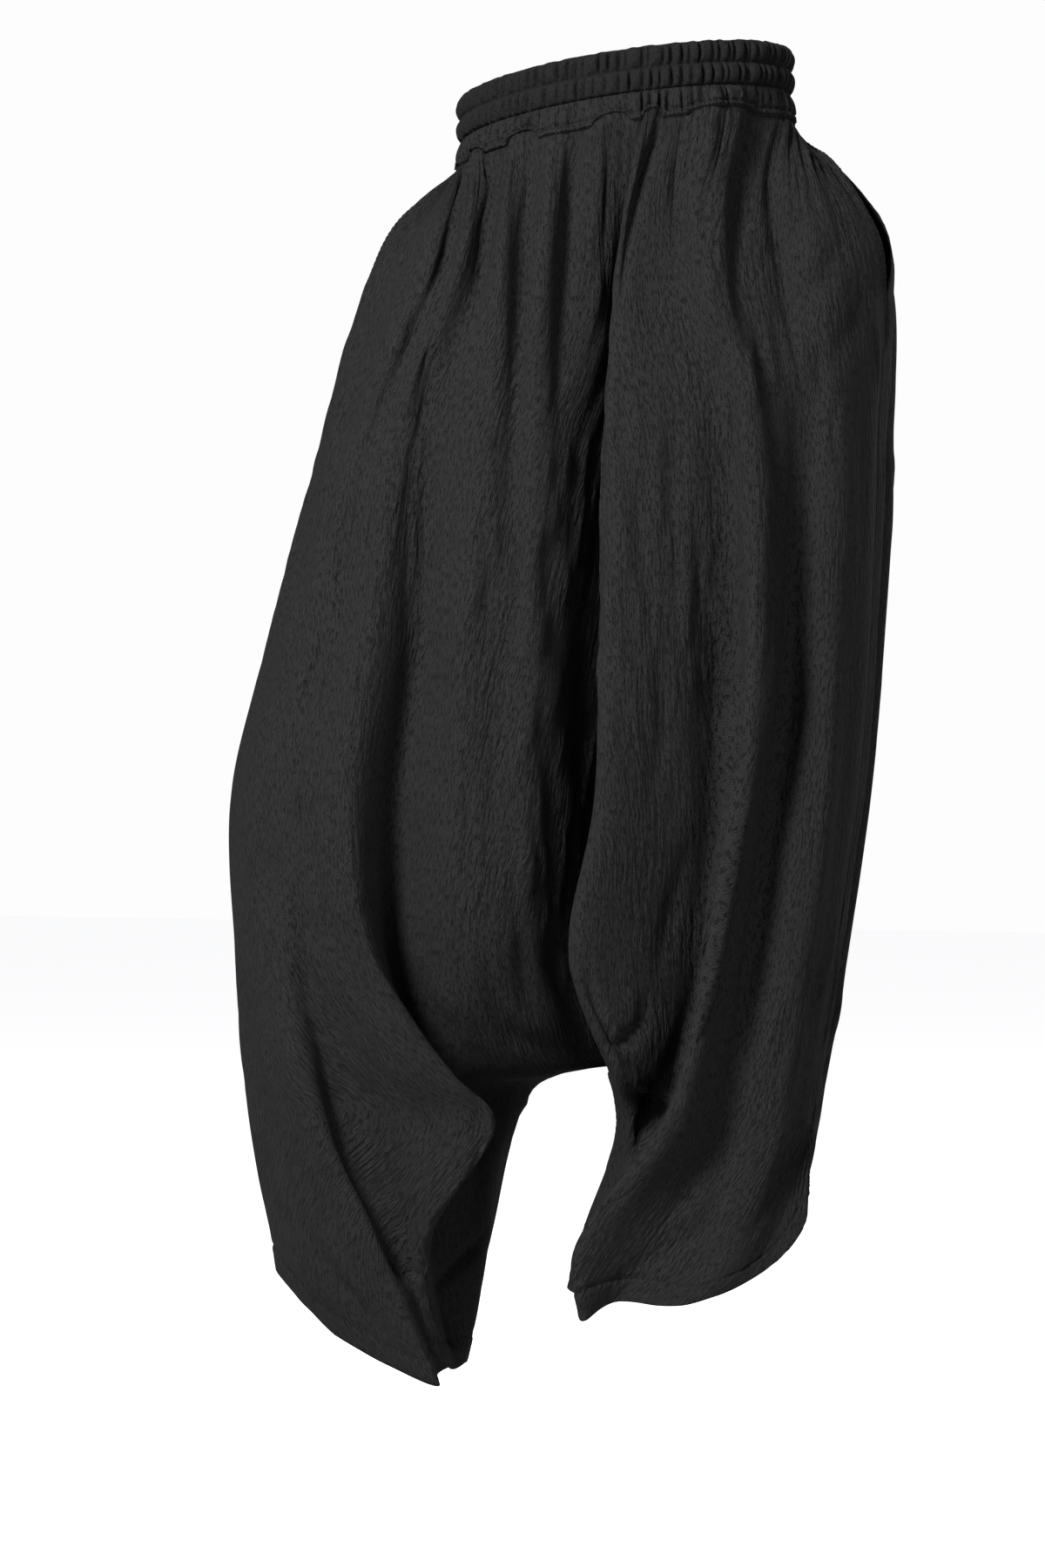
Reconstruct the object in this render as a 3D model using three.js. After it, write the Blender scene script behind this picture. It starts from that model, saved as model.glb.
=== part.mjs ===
// Harem pants with a dropped crotch, worn but empty: a shirred two-channel waistband, a gathered
// yoke, two front and two back panels, side-seam pockets held open, and curved, pointed hems.
// Millimetres. +Z is up, -Y is the garment's centre front, +X is the wearer's left.
// The origin is the centre of the waist opening, at half the height of the waistband.
import * as THREE from "three";

// Driving sizes.
const CLOTH = 2; // thickness of the crinkled cloth
const HEM_CLOTH = 3; // thickness of the turned-up hem
const BAG_CLOTH = 1.2; // thickness of the pocket bags
const SEAM_GAP = 0.3; // between two pieces that are sewn together
const WAIST_ACROSS = 134; // half the waist opening, from hip to hip
const WAIST_DEEP = 104; // half the waist opening, from front to back
const HIP_TURN = THREE.MathUtils.degToRad(30); // the hips are turned to the wearer's right
const HIP_ROLL = Math.tan(THREE.MathUtils.degToRad(6.1)); // the wearer's left hip is higher
const HIP_PITCH = Math.tan(THREE.MathUtils.degToRad(3.1)); // the front of the waist is higher
const BAND_HEIGHT = 34; // both elastic channels
const BAND_BELOW_DATUM = 5; // the levels are measured from a datum above the middle of the band
const BAND_PINCH = 2.4; // thickness of the band at a stitched line
const BAND_PUFF = 3.4; // how far a channel stands out between stitched lines
const BAND_GATHERS = 96;
const BAND_GATHER_DEPTH = 1.1;
const BAND_ROWS = [0, 0.14, 0.36, 0.5, 0.64, 0.86, 1]; // places of its mesh on its height
const YOKE_DEPTH = 23; // from the band to the seam above the panels
const YOKE_FLARE = 4; // how much wider the ring is at that seam
const YOKE_GATHER_DEPTH = 1.2;
const YOKE_SWELL = 1; // how far its middle stands out
const CENTRE_FRONT = THREE.MathUtils.degToRad(63); // on the waist, from the wearer's left
const QUARTER = Math.PI / 2;

const DARK_CLOTH = { color: 0x1f1e20, roughness: 0.92, metalness: 0 };
const BAND_CLOTH = { color: 0x1c1b1d, roughness: 0.92, metalness: 0 };
const POCKET_CLOTH = { color: 0x151416, roughness: 0.95, metalness: 0 };

// The heights at which each fold is measured, from the datum down.
const LEVELS = {
  hip: -130,
  thigh: -280,
  mid: -430,
  knee: -560,
  low: -680,
  crotch: -771,
  calf: -808,
  shin: -905,
  hem: -950,
};
const NAMES = ["ring", ...Object.keys(LEVELS)];
const LOW = NAMES.indexOf("low");
const CROTCH = NAMES.indexOf("crotch");
const HEM = NAMES.indexOf("hem");

// One row for each line that runs down a crest, a hollow or a seam. ring is its place on the waist,
// as a share of the quarter that its panel covers, and the other columns are [x, y] at each level,
// with a z of its own where the cloth dips under the crotch or the hem is curved.
const CENTRE_FRONT_SEAM = {
  ring: 0,
  hip: [1, -92],
  thigh: [-13, -98],
  mid: [-15, -92],
  knee: [-15, -80],
  low: [-20, -62],
  crotch: [-5, -10],
};
const CENTRE_BACK_SEAM = {
  ring: 1,
  hip: [-12, 136],
  thigh: [-15, 158],
  mid: [-15, 160],
  knee: [-15, 145],
  low: [-12, 105],
  crotch: [-5, -10],
};
const RIGHT_INSEAM = { calf: [-78, 52, -806], shin: [-105, 62, -898], hem: [-128, 70, -1003] };
const LEFT_INSEAM = { calf: [2, 0, -810], shin: [-30, -5, -900], hem: [-40, -20, -945] };

const RIGHT_FRONT = [
  { ...CENTRE_FRONT_SEAM, ...RIGHT_INSEAM, seam: true },
  // The front of the seat that hangs between the legs.
  {
    ring: 0.32, hip: [-63, -122], thigh: [-66, -150], mid: [-71, -158], knee: [-74, -148],
    low: [-74, -118], crotch: [-67, -58], calf: [-84, 6, -790], shin: [-108, 12], hem: [-126, 15, -1006],
  },
  {
    ring: 0.52, hip: [-96, -128], thigh: [-108, -152], mid: [-127, -160], knee: [-130, -152],
    low: [-131, -125], crotch: [-118, -64], calf: [-108, -22, -794], shin: [-110, -28],
    hem: [-127, -20, -1005],
  },
  // The hollow behind the front flap of the leg.
  {
    ring: 0.61, hip: [-108, -118], thigh: [-150, -132], mid: [-155, -128], knee: [-178, -112],
    low: [-182, -80], crotch: [-160, -62, -775], calf: [-135, -75, -812], shin: [-148, -60],
    hem: [-134, -35, -1008],
  },
  // The edge of the flap.
  {
    ring: 0.74, hip: [-124, -128], thigh: [-177, -140], mid: [-196, -150], knee: [-212, -150],
    low: [-196, -140], crotch: [-136, -130], calf: [-103, -120], shin: [-157, -105],
    hem: [-139, -60, -1004],
  },
  {
    ring: 0.83, hip: [-135, -112], thigh: [-194, -125], mid: [-223, -128], knee: [-255, -120],
    low: [-238, -112], crotch: [-220, -105], calf: [-210, -100], shin: [-175, -90],
    hem: [-147, -72, -1008],
  },
  // The long ridge that ends in the point of the hem.
  {
    ring: 0.89, hip: [-146, -112], thigh: [-204, -118], mid: [-247, -112], knee: [-290, -75],
    low: [-269, -95], crotch: [-251, -105], calf: [-239, -108], shin: [-193, -108],
    hem: [-146, -90, -1015],
  },
  {
    ring: 0.95, hip: [-168, -70], thigh: [-222, -70], mid: [-268, -60], knee: [-306, -25],
    low: [-292, -50], crotch: [-283, -60], calf: [-276, -60], shin: [-248, -65],
    hem: [-220, -45, -984],
  },
];
const RIGHT_SIDE = {
  ring: 1, hip: [-194, 25], thigh: [-240, 32], mid: [-280, 38], knee: [-311, 35],
  low: [-309, 30], crotch: [-302, 28], calf: [-298, 28], shin: [-284, 30, -895], hem: [-277, 35, -938],
};
const RIGHT_BACK = [
  {
    ring: 0.25, hip: [-165, 100], thigh: [-205, 135], mid: [-240, 150], knee: [-265, 160],
    low: [-265, 155], crotch: [-262, 148], calf: [-255, 140], shin: [-245, 125], hem: [-245, 115, -965],
  },
  {
    ring: 0.5, hip: [-105, 130], thigh: [-130, 160], mid: [-155, 178], knee: [-170, 190],
    low: [-175, 185], crotch: [-180, 175], calf: [-185, 165], shin: [-190, 150], hem: [-195, 145, -990],
  },
  {
    ring: 0.75, hip: [-60, 146], thigh: [-75, 180], mid: [-85, 190], knee: [-90, 185],
    low: [-95, 168], crotch: [-90, 140], calf: [-110, 125], shin: [-130, 125], hem: [-145, 125, -1003],
  },
  { ...CENTRE_BACK_SEAM, ...RIGHT_INSEAM, seam: true },
];

const LEFT_FRONT = [
  { ...CENTRE_FRONT_SEAM, ...LEFT_INSEAM, seam: true },
  // The edge of the deep fold beside the centre front.
  {
    ring: 0.045, hip: [-5, -125], thigh: [-14, -155], mid: [-18, -172], knee: [-22, -175],
    low: [-42, -165], crotch: [-8, -140], calf: [3, -100, -812], shin: [-20, -85], hem: [-38, -80, -946],
  },
  {
    ring: 0.18, hip: [35, -118], thigh: [65, -150], mid: [66, -150], knee: [67, -138],
    low: [56, -125], crotch: [42, -112], calf: [25, -100], shin: [-25, -120], hem: [-36, -120, -948],
  },
  // The slanting fold that sweeps across the shin to the point of the hem.
  {
    ring: 0.38, hip: [60, -128], thigh: [95, -158], mid: [98, -165], knee: [79, -172],
    low: [60, -175], crotch: [42, -178], calf: [28, -180], shin: [-40, -165], hem: [-34, -160, -957],
  },
  {
    ring: 0.73, hip: [112, -100], thigh: [133, -125], mid: [132, -125], knee: [121, -130],
    low: [104, -132], crotch: [89, -135], calf: [77, -137], shin: [15, -150], hem: [-12, -142, -945],
  },
  {
    ring: 0.83, hip: [143, -105], thigh: [162, -118], mid: [159, -120], knee: [150, -122],
    low: [135, -125], crotch: [123, -128], calf: [116, -130], shin: [83, -150, -900],
    hem: [46, -175, -942],
  },
  {
    ring: 0.92, hip: [173, -85], thigh: [181, -95], mid: [177, -97], knee: [166, -100],
    low: [148, -105], crotch: [135, -108], calf: [130, -110], shin: [117, -120, -882],
    hem: [97, -145, -925],
  },
  {
    ring: 0.965, hip: [188, -68], thigh: [192, -78], mid: [186, -80], knee: [175, -84],
    low: [157, -90], crotch: [143, -95], calf: [139, -98], shin: [133, -104, -850],
    hem: [133, -122, -893],
  },
];
const LEFT_SIDE = {
  ring: 1, hip: [196, -50], thigh: [196, -60], mid: [190, -62], knee: [180, -65],
  low: [162, -75], crotch: [148, -82], calf: [144, -85], shin: [141, -88, -826], hem: [140, -92, -848],
};
const LEFT_BACK = [
  {
    ring: 0.1, hip: [204, -20], thigh: [207, -33], mid: [200, -36], knee: [190, -40],
    low: [171, -50], crotch: [155, -58], calf: [150, -62], shin: [143, -64, -836], hem: [139, -62, -862],
  },
  {
    ring: 0.27, hip: [203, 20], thigh: [211, 8], mid: [204, -2], knee: [193, -8],
    low: [174, -22], crotch: [158, -32], calf: [150, -38], shin: [138, -42, -868],
    hem: [124, -32, -908],
  },
  {
    ring: 0.5, hip: [150, 95], thigh: [160, 105], mid: [155, 105], knee: [150, 90],
    low: [135, 68], crotch: [125, 40], calf: [120, 22], shin: [100, 5], hem: [90, 5, -935],
  },
  {
    ring: 0.75, hip: [55, 135], thigh: [60, 160], mid: [60, 160], knee: [58, 140],
    low: [52, 105], crotch: [50, 60], calf: [48, 40], shin: [28, 15], hem: [20, 10, -945],
  },
  { ...CENTRE_BACK_SEAM, ...LEFT_INSEAM, seam: true },
];

const FRONT_PITCH = 23; // widest column of the mesh on a front panel
const BACK_PITCH = 32;
const SPAN_ROWS = [5, 4, 3, 3, 3, 4, 3, 3, 3]; // rows of the mesh between two levels

// Smaller folds, on top of the lines. ring is a place on the waist as above, width a share of the
// quarter, rise how far the cloth stands out, and start and end are level numbers where it fades.
const FADE_IN = 1.2; // levels over which a fold grows, and fades
const FADE_OUT = 1.5;
const RIGHT_FRONT_FOLDS = [
  { ring: 0.13, width: 0.09, rise: 5, start: -1, end: 2.6 },
  { ring: 0.235, width: 0.08, rise: -5, start: -1, end: 2.4 },
  { ring: 0.42, width: 0.09, rise: -8, start: -1, end: 5 },
  { ring: 0.89, width: 0.06, rise: 3, start: -1, end: 3 },
];
const LEFT_FRONT_FOLDS = [
  { ring: 0.11, width: 0.06, rise: -5, start: -1, end: 2 },
  { ring: 0.29, width: 0.1, rise: 4, start: -1, end: 1.6 },
  { ring: 0.55, width: 0.12, rise: -4, start: -1, end: 3 },
  { ring: 0.66, width: 0.08, rise: 3, start: 2, end: 8 },
];
const RIGHT_BACK_FOLDS = [
  { ring: 0.14, width: 0.1, rise: -8, start: -1, end: 6 },
  { ring: 0.37, width: 0.1, rise: -10, start: -1, end: 7 },
  { ring: 0.62, width: 0.1, rise: -9, start: 0, end: 6 },
  { ring: 0.86, width: 0.1, rise: -7, start: -1, end: 5 },
];
const LEFT_BACK_FOLDS = [
  { ring: 0.14, width: 0.09, rise: -7, start: 0, end: 7 },
  { ring: 0.36, width: 0.1, rise: -11, start: -1, end: 8 },
  { ring: 0.6, width: 0.11, rise: -9, start: -1, end: 6 },
  { ring: 0.85, width: 0.1, rise: -12, start: 0, end: 6 },
];

// Pleats on the ring, in degrees from the front of the waist towards the wearer's right, where the
// seam steps up.
const PLEATS = [
  { from: -77, to: -45, lift: 3 },
  { from: -37, to: -29, lift: 4 },
  { from: -25, to: -12, lift: 3.5 },
  { from: 7, to: 20, lift: 4 },
  { from: 33, to: 45, lift: 2.5 },
  { from: 66, to: 78, lift: 2.5 },
  { from: 132, to: 146, lift: 2.5 },
  { from: 170, to: 186, lift: 3 },
  { from: 214, to: 228, lift: 2.5 },
];

// The mouth of a pocket lies on a side seam between two level numbers. open is its width, push how
// far its edges stand off the body, reach how far along the cloth that spreads, and bagForward how
// much of its bag's forward lean there is room for.
const MOUTH = { top: 0.2, bottom: 1.25 };
const RIGHT_MOUTH = { ...MOUTH, open: 34, push: 3, reach: 60, bagForward: 1 };
const LEFT_MOUTH = { ...MOUTH, open: 34, push: 9, reach: 60, bagForward: 0.25 };
const POCKET_COLUMNS = 16;
const MOUTH_EDGE = 4; // how soon the mouth opens to its full width from either end
// One row for each section of a pocket bag behind its mouth: how far in, forward and down it lies,
// and its half height and half thickness.
const POCKET_SECTIONS = [
  { inward: 14, forward: 12, down: 6, tall: 62, thick: 14 },
  { inward: 32, forward: 40, down: 22, tall: 78, thick: 13 },
  { inward: 50, forward: 66, down: 38, tall: 86, thick: 11 },
  { inward: 66, forward: 86, down: 50, tall: 78, thick: 8 },
  { inward: 76, forward: 98, down: 58, tall: 58, thick: 4 },
];

// How far the yoke seam steps up at an angle on the waist.
function pleatLift(angle) {
  const turned = THREE.MathUtils.radToDeg(angle) - 90;
  let lift = 0;
  for (const pleat of PLEATS) {
    const from = THREE.MathUtils.euclideanModulo(turned - pleat.from, 360);
    const width = pleat.to - pleat.from;
    if (from < width) {
      lift = pleat.lift * Math.sqrt(Math.sin(Math.PI * from / width));
    }
  }
  return lift;
}

// A point on the waist. angle runs from the wearer's left towards the front.
function waistPoint(angle, grow, height) {
  const across = (WAIST_ACROSS + grow) * Math.cos(angle);
  const deep = -(WAIST_DEEP + grow) * Math.sin(angle);
  const x = across * Math.cos(HIP_TURN) + deep * Math.sin(HIP_TURN);
  const y = -across * Math.sin(HIP_TURN) + deep * Math.cos(HIP_TURN);
  const tilt = x * HIP_ROLL - y * HIP_PITCH;
  return new THREE.Vector3(x, y, height + tilt - BAND_BELOW_DATUM);
}

// The point of one line at one named level.
function station(line, name, angle) {
  if (name === "ring") {
    return waistPoint(angle, YOKE_FLARE, -BAND_HEIGHT / 2 - YOKE_DEPTH);
  }
  const [x, y, z = LEVELS[name]] = line[name];
  return new THREE.Vector3(x, y, z);
}

// A quarter of an ellipse from a to b, which leaves a along the axes in first.
function quarterEllipse(a, b, share, first) {
  const early = Math.sin(share * QUARTER);
  const late = 1 - Math.cos(share * QUARTER);
  const at = new THREE.Vector3();
  for (const axis of ["x", "y", "z"]) {
    at[axis] = a[axis] + (b[axis] - a[axis]) * (first.includes(axis) ? early : late);
  }
  return at;
}

// Catmull-Rom between b and c, with centripetal spacing.
function between(a, b, c, d, share) {
  const curve = new THREE.CatmullRomCurve3([a, b, c, d], false, "centripetal");
  return curve.getPoint((1 + share) / 3);
}

// The place of a line at a level number that needn't be whole.
function linePoint(line, level) {
  const { points, seam } = line;
  const i = Math.min(Math.floor(level), HEM - 1);
  const share = level - i;
  if (seam && i === LOW) {
    return quarterEllipse(points[i], points[i + 1], share, "z");
  }
  if (seam && i === CROTCH) {
    return quarterEllipse(points[i], points[i + 1], share, "xy");
  }
  const before = points[i - 1] ?? points[i].clone().multiplyScalar(2).sub(points[i + 1]);
  const after = points[i + 2] ?? points[i + 1].clone().multiplyScalar(2).sub(points[i]);
  return between(before, points[i], points[i + 1], after, share);
}

// One half of the garment: its lines from the centre front round the side to the centre back, and
// the places of the mesh's columns. turn is 1 for the wearer's right and -1 for the left.
function makeHalf(front, side, back, turn, frontFolds, backFolds, mouth) {
  const lines = [];
  const addLine = (line, start) => {
    const ring = start + line.ring;
    const angle = CENTRE_FRONT + turn * ring * QUARTER;
    const points = NAMES.map((name) => station(line, name, angle));
    lines.push({ seam: Boolean(line.seam), ring, points });
  };
  for (const line of front) addLine(line, 0);
  addLine(side, 0);
  for (const line of back) addLine(line, 1);
  const columns = [];
  for (let i = 0; i < lines.length - 1; i++) {
    const widths = lines[i].points.map((point, n) => point.distanceTo(lines[i + 1].points[n]));
    const pitch = i < front.length ? FRONT_PITCH : BACK_PITCH;
    const count = Math.max(2, Math.round(Math.max(...widths) / pitch));
    for (let k = 0; k < count; k++) columns.push({ span: i, share: k / count });
  }
  columns.push({ span: lines.length - 2, share: 1 });
  for (const column of columns) {
    const { ring } = lines[column.span];
    column.ring = ring + (lines[column.span + 1].ring - ring) * column.share;
    column.angle = CENTRE_FRONT + turn * column.ring * QUARTER;
  }
  const sideColumn = columns.findIndex((column) => column.span === front.length);
  const folds = [...frontFolds, ...backFolds.map((fold) => ({ ...fold, ring: fold.ring + 1 }))];
  return { lines, columns, side: sideColumn, turn, folds, mouth };
}

const right = makeHalf(
  RIGHT_FRONT, RIGHT_SIDE, RIGHT_BACK, 1, RIGHT_FRONT_FOLDS, RIGHT_BACK_FOLDS, RIGHT_MOUTH,
);
const left = makeHalf(
  LEFT_FRONT, LEFT_SIDE, LEFT_BACK, -1, LEFT_FRONT_FOLDS, LEFT_BACK_FOLDS, LEFT_MOUTH,
);

const rowLevels = SPAN_ROWS.flatMap((count, i) => (
  Array.from({ length: count }, (_, k) => i + k / count)
));
rowLevels.push(HEM);
const crotchRow = rowLevels.indexOf(CROTCH);

// One row of a half: a curve through its lines. Above the crotch it runs on into the other half,
// and below the crotch it closes on itself.
function halfRow(half, other, level) {
  const own = half.lines.map((line) => linePoint(line, level));
  const open = THREE.MathUtils.smoothstep(CROTCH - level, -0.5, 0.5);
  const before = own.at(-2).clone().lerp(linePoint(other.lines[1], level), open);
  const after = own[1].clone().lerp(linePoint(other.lines.at(-2), level), open);
  const through = [before, ...own, after];
  return half.columns.map(({ span, share }) => (
    between(through[span], through[span + 1], through[span + 2], through[span + 3], share)
  ));
}

// Normals that agree on both sides of every seam, pointing out of the garment, and straight down
// where the four panels meet.
function gridNormals(grid, other, turn) {
  const last = grid[0].length - 1;
  return grid.map((row, r) => row.map((point, c) => {
    const above = r <= crotchRow;
    const next = c < last ? row[c + 1] : above ? other[r].at(-2) : row[1];
    const previous = c > 0 ? row[c - 1] : above ? other[r][1] : row[last - 1];
    const up = grid[Math.max(r - 1, 0)][c];
    const down = grid[Math.min(r + 1, grid.length - 1)][c];
    const normal = next.clone().sub(previous).cross(up.clone().sub(down)).multiplyScalar(-turn);
    if (r === 0) {
      normal.z = normal.x * HIP_ROLL - normal.y * HIP_PITCH;
    }
    if (r === crotchRow && (c === 0 || c === last)) {
      normal.set(0, 0, -1);
    }
    return normal.normalize();
  }));
}

// How far the smaller folds lift a point off the lines.
function foldRise(half, column, level) {
  let rise = 0;
  for (const fold of half.folds) {
    const aside = Math.abs(column.ring - fold.ring) / fold.width;
    if (aside < 1) {
      const fade = THREE.MathUtils.smoothstep(level, fold.start, fold.start + FADE_IN)
        * (1 - THREE.MathUtils.smoothstep(level, fold.end - FADE_OUT, fold.end));
      rise += fold.rise * (0.5 + 0.5 * Math.cos(Math.PI * aside)) * fade;
    }
  }
  return rise;
}

function mouthShare(mouth, level) {
  const share = (level - mouth.top) / (mouth.bottom - mouth.top);
  return share > 0 && share < 1 ? Math.sin(Math.PI * share) ** 0.8 : 0;
}

// The middle of the cloth of both halves, with their smaller folds and the pockets' edges.
const rows = {
  right: rowLevels.map((level) => halfRow(right, left, level)),
  left: rowLevels.map((level) => halfRow(left, right, level)),
};
right.base = gridNormals(rows.right, rows.left, right.turn);
left.base = gridNormals(rows.left, rows.right, left.turn);
for (const [half, grid] of [[right, rows.right], [left, rows.left]]) {
  grid.forEach((row, r) => {
    const seam = row[half.side].clone();
    row.forEach((point, c) => {
      const near = 1 - Math.min(point.distanceTo(seam) / half.mouth.reach, 1);
      const push = half.mouth.push * mouthShare(half.mouth, rowLevels[r]) * near;
      const rise = foldRise(half, half.columns[c], rowLevels[r]);
      point.addScaledVector(half.base[r][c], rise + push);
      if (r === 0) point.z += pleatLift(half.columns[c].angle);
    });
  });
}
right.normals = gridNormals(rows.right, rows.left, right.turn);
left.normals = gridNormals(rows.left, rows.right, left.turn);
right.grid = rows.right;
left.grid = rows.left;

// Six times the volume inside a mesh, below zero where its faces point in.
function signedVolume(positions, index) {
  const corner = (i) => new THREE.Vector3().fromArray(positions, 3 * i);
  let sum = 0;
  for (let i = 0; i < index.length; i += 3) {
    sum += corner(index[i]).dot(corner(index[i + 1]).cross(corner(index[i + 2])));
  }
  return sum;
}

function closedGeometry(positions, index) {
  const geometry = new THREE.BufferGeometry();
  geometry.setAttribute("position", new THREE.Float32BufferAttribute(positions, 3));
  geometry.setIndex(signedVolume(positions, index) < 0 ? index.reverse() : index);
  geometry.computeVertexNormals();
  return geometry;
}

// A closed wall round a grid of points: outer face, inner face and the four edges.
function wallGeometry(outer, inner) {
  const down = outer.length;
  const wide = outer[0].length;
  const positions = [...outer, ...inner].flat().flatMap((point) => point.toArray());
  const at = (face, r, c) => (face * down + r) * wide + c;
  const index = [];
  const quad = (a, b, c, d) => index.push(a, b, c, a, c, d);
  for (let r = 0; r < down - 1; r++) {
    for (let c = 0; c < wide - 1; c++) {
      quad(at(0, r, c), at(0, r + 1, c), at(0, r + 1, c + 1), at(0, r, c + 1));
      quad(at(1, r, c), at(1, r, c + 1), at(1, r + 1, c + 1), at(1, r + 1, c));
    }
    quad(at(0, r, 0), at(1, r, 0), at(1, r + 1, 0), at(0, r + 1, 0));
    quad(at(0, r, wide - 1), at(0, r + 1, wide - 1), at(1, r + 1, wide - 1), at(1, r, wide - 1));
  }
  for (let c = 0; c < wide - 1; c++) {
    quad(at(0, 0, c), at(0, 0, c + 1), at(1, 0, c + 1), at(1, 0, c));
    quad(at(0, down - 1, c), at(1, down - 1, c), at(1, down - 1, c + 1), at(0, down - 1, c + 1));
  }
  return closedGeometry(positions, index);
}

// A panel's part of a half, kept clear of its neighbours along its seams and drawn back from the
// side seam at the pocket's mouth.
function panelGeometry(half, from, to) {
  const inset = SEAM_GAP / 2;
  const last = to - from;
  const sideColumn = half.side - from;
  const pieces = half.grid.map((row) => row.slice(from, to + 1).map((point) => point.clone()));
  pieces.forEach((row, r) => {
    row[0].add(row[1].clone().sub(row[0]).setLength(inset));
    row[last].add(row[last - 1].clone().sub(row[last]).setLength(inset));
    const seam = row[sideColumn].clone();
    const away = row[sideColumn > 0 ? last - 1 : 1].clone().sub(seam).normalize();
    const drawn = half.mouth.open / 2 * mouthShare(half.mouth, rowLevels[r]);
    for (const point of row) {
      const near = 1 - Math.min(point.distanceTo(seam) / half.mouth.reach, 1);
      point.addScaledVector(away, drawn * near);
    }
  });
  pieces[0].forEach((point) => { point.z -= inset; });
  const hemRow = pieces.length - 2;
  const shifted = (sign) => pieces.map((row, r) => row.map((point, c) => (
    point.clone().addScaledVector(half.normals[r][from + c], sign * (r < hemRow ? CLOTH : HEM_CLOTH) / 2)
  )));
  return wallGeometry(shifted(1), shifted(-1));
}

// A yoke hangs from the band to the top row of the panels, with a gather at every other column.
function yokeGeometry(columns) {
  const inset = SEAM_GAP / 2;
  const bottomOf = ({ half, c }) => half.grid[0][c].clone().setZ(half.grid[0][c].z + inset);
  const faces = (sign) => {
    const grid = [[], [], []];
    columns.forEach((column, i) => {
      const { angle } = column.half.columns[column.c];
      const edge = i === 0 || i === columns.length - 1;
      const gather = edge ? 0 : YOKE_GATHER_DEPTH * (i % 2 ? 1 : -1);
      const top = waistPoint(angle, 0, -BAND_HEIGHT / 2 - SEAM_GAP);
      const bottom = bottomOf(column);
      const normal = column.half.normals[0][column.c];
      const middle = top.clone().lerp(bottom, 0.5).addScaledVector(normal, gather + YOKE_SWELL);
      [top, middle, bottom].forEach((point, r) => {
        grid[r].push(point.addScaledVector(normal, sign * CLOTH / 2));
      });
    });
    for (const row of grid) {
      const ends = [[0, 1], [columns.length - 1, columns.length - 2]];
      for (const [end, next] of ends) {
        row[end].add(row[next].clone().sub(row[end]).setLength(inset));
      }
    }
    return grid;
  };
  return wallGeometry(faces(1), faces(-1));
}

// The columns of both halves between two side seams, over the front or over the back.
function ringColumns(over) {
  const pick = (half) => half.columns.map((_, c) => ({ half, c }));
  const part = (half) => (over === "front"
    ? pick(half).slice(0, half.side + 1)
    : pick(half).slice(half.side));
  return over === "front"
    ? [...part(right).reverse(), ...part(left).slice(1)]
    : [...part(right), ...part(left).reverse().slice(1)];
}

// A closed tube of sections, each the same closed run of points.
function tubeGeometry(sections) {
  const around = sections[0].length;
  const positions = sections.flat().flatMap((point) => point.toArray());
  const index = [];
  for (let s = 0; s < sections.length; s++) {
    const n = (s + 1) % sections.length;
    for (let k = 0; k < around; k++) {
      const m = (k + 1) % around;
      const [a, b, c, d] = [s * around + k, s * around + m, n * around + m, n * around + k];
      index.push(a, b, c, a, c, d);
    }
  }
  return closedGeometry(positions, index);
}

// The waistband: two puffed channels with a gather at every other section.
function bandGeometry() {
  const sections = [];
  const count = BAND_GATHERS * 2;
  for (let i = 0; i < count; i++) {
    const angle = i / count * 2 * Math.PI;
    const section = BAND_ROWS.map((height) => {
      const puff = Math.abs(Math.sin(2 * Math.PI * height)) ** 0.7;
      const gather = BAND_GATHER_DEPTH * (i % 2 ? 1 : -1);
      const out = BAND_PINCH / 2 + (BAND_PUFF + gather) * puff;
      return waistPoint(angle, out, (height - 0.5) * BAND_HEIGHT);
    });
    section.push(waistPoint(angle, -BAND_PINCH / 2, BAND_HEIGHT / 2));
    section.push(waistPoint(angle, -BAND_PINCH / 2, -BAND_HEIGHT / 2));
    sections.push(section);
  }
  return tubeGeometry(sections);
}

// A closed skin over a run of loops, with a point at each end.
function cappedGeometry(loops, first, last) {
  const around = loops[0].length;
  const positions = [first, ...loops.flat(), last].flatMap((point) => point.toArray());
  const end = loops.length * around + 1;
  const at = (n, k) => 1 + n * around + k % around;
  const index = [];
  for (let k = 0; k < around; k++) {
    index.push(0, at(0, k + 1), at(0, k));
    index.push(end, at(loops.length - 1, k), at(loops.length - 1, k + 1));
    for (let n = 0; n < loops.length - 1; n++) {
      index.push(at(n, k), at(n, k + 1), at(n + 1, k + 1), at(n, k), at(n + 1, k + 1), at(n + 1, k));
    }
  }
  return closedGeometry(positions, index);
}

// The cloth beside a pocket's mouth at a level number: its middle, its normal and the directions
// along it to the next column of each panel.
function mouthFrame(half, level) {
  const r = rowLevels.findLastIndex((start) => start <= level);
  const share = (level - rowLevels[r]) / (rowLevels[r + 1] - rowLevels[r]);
  const mix = (grid, c) => grid[r][c].clone().lerp(grid[r + 1][c], share);
  const point = mix(half.grid, half.side);
  const ahead = mix(half.grid, half.side - 1).sub(point).normalize();
  const behind = mix(half.grid, half.side + 1).sub(point).normalize();
  return { point, ahead, behind, inward: mix(half.normals, half.side).normalize().negate() };
}

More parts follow.
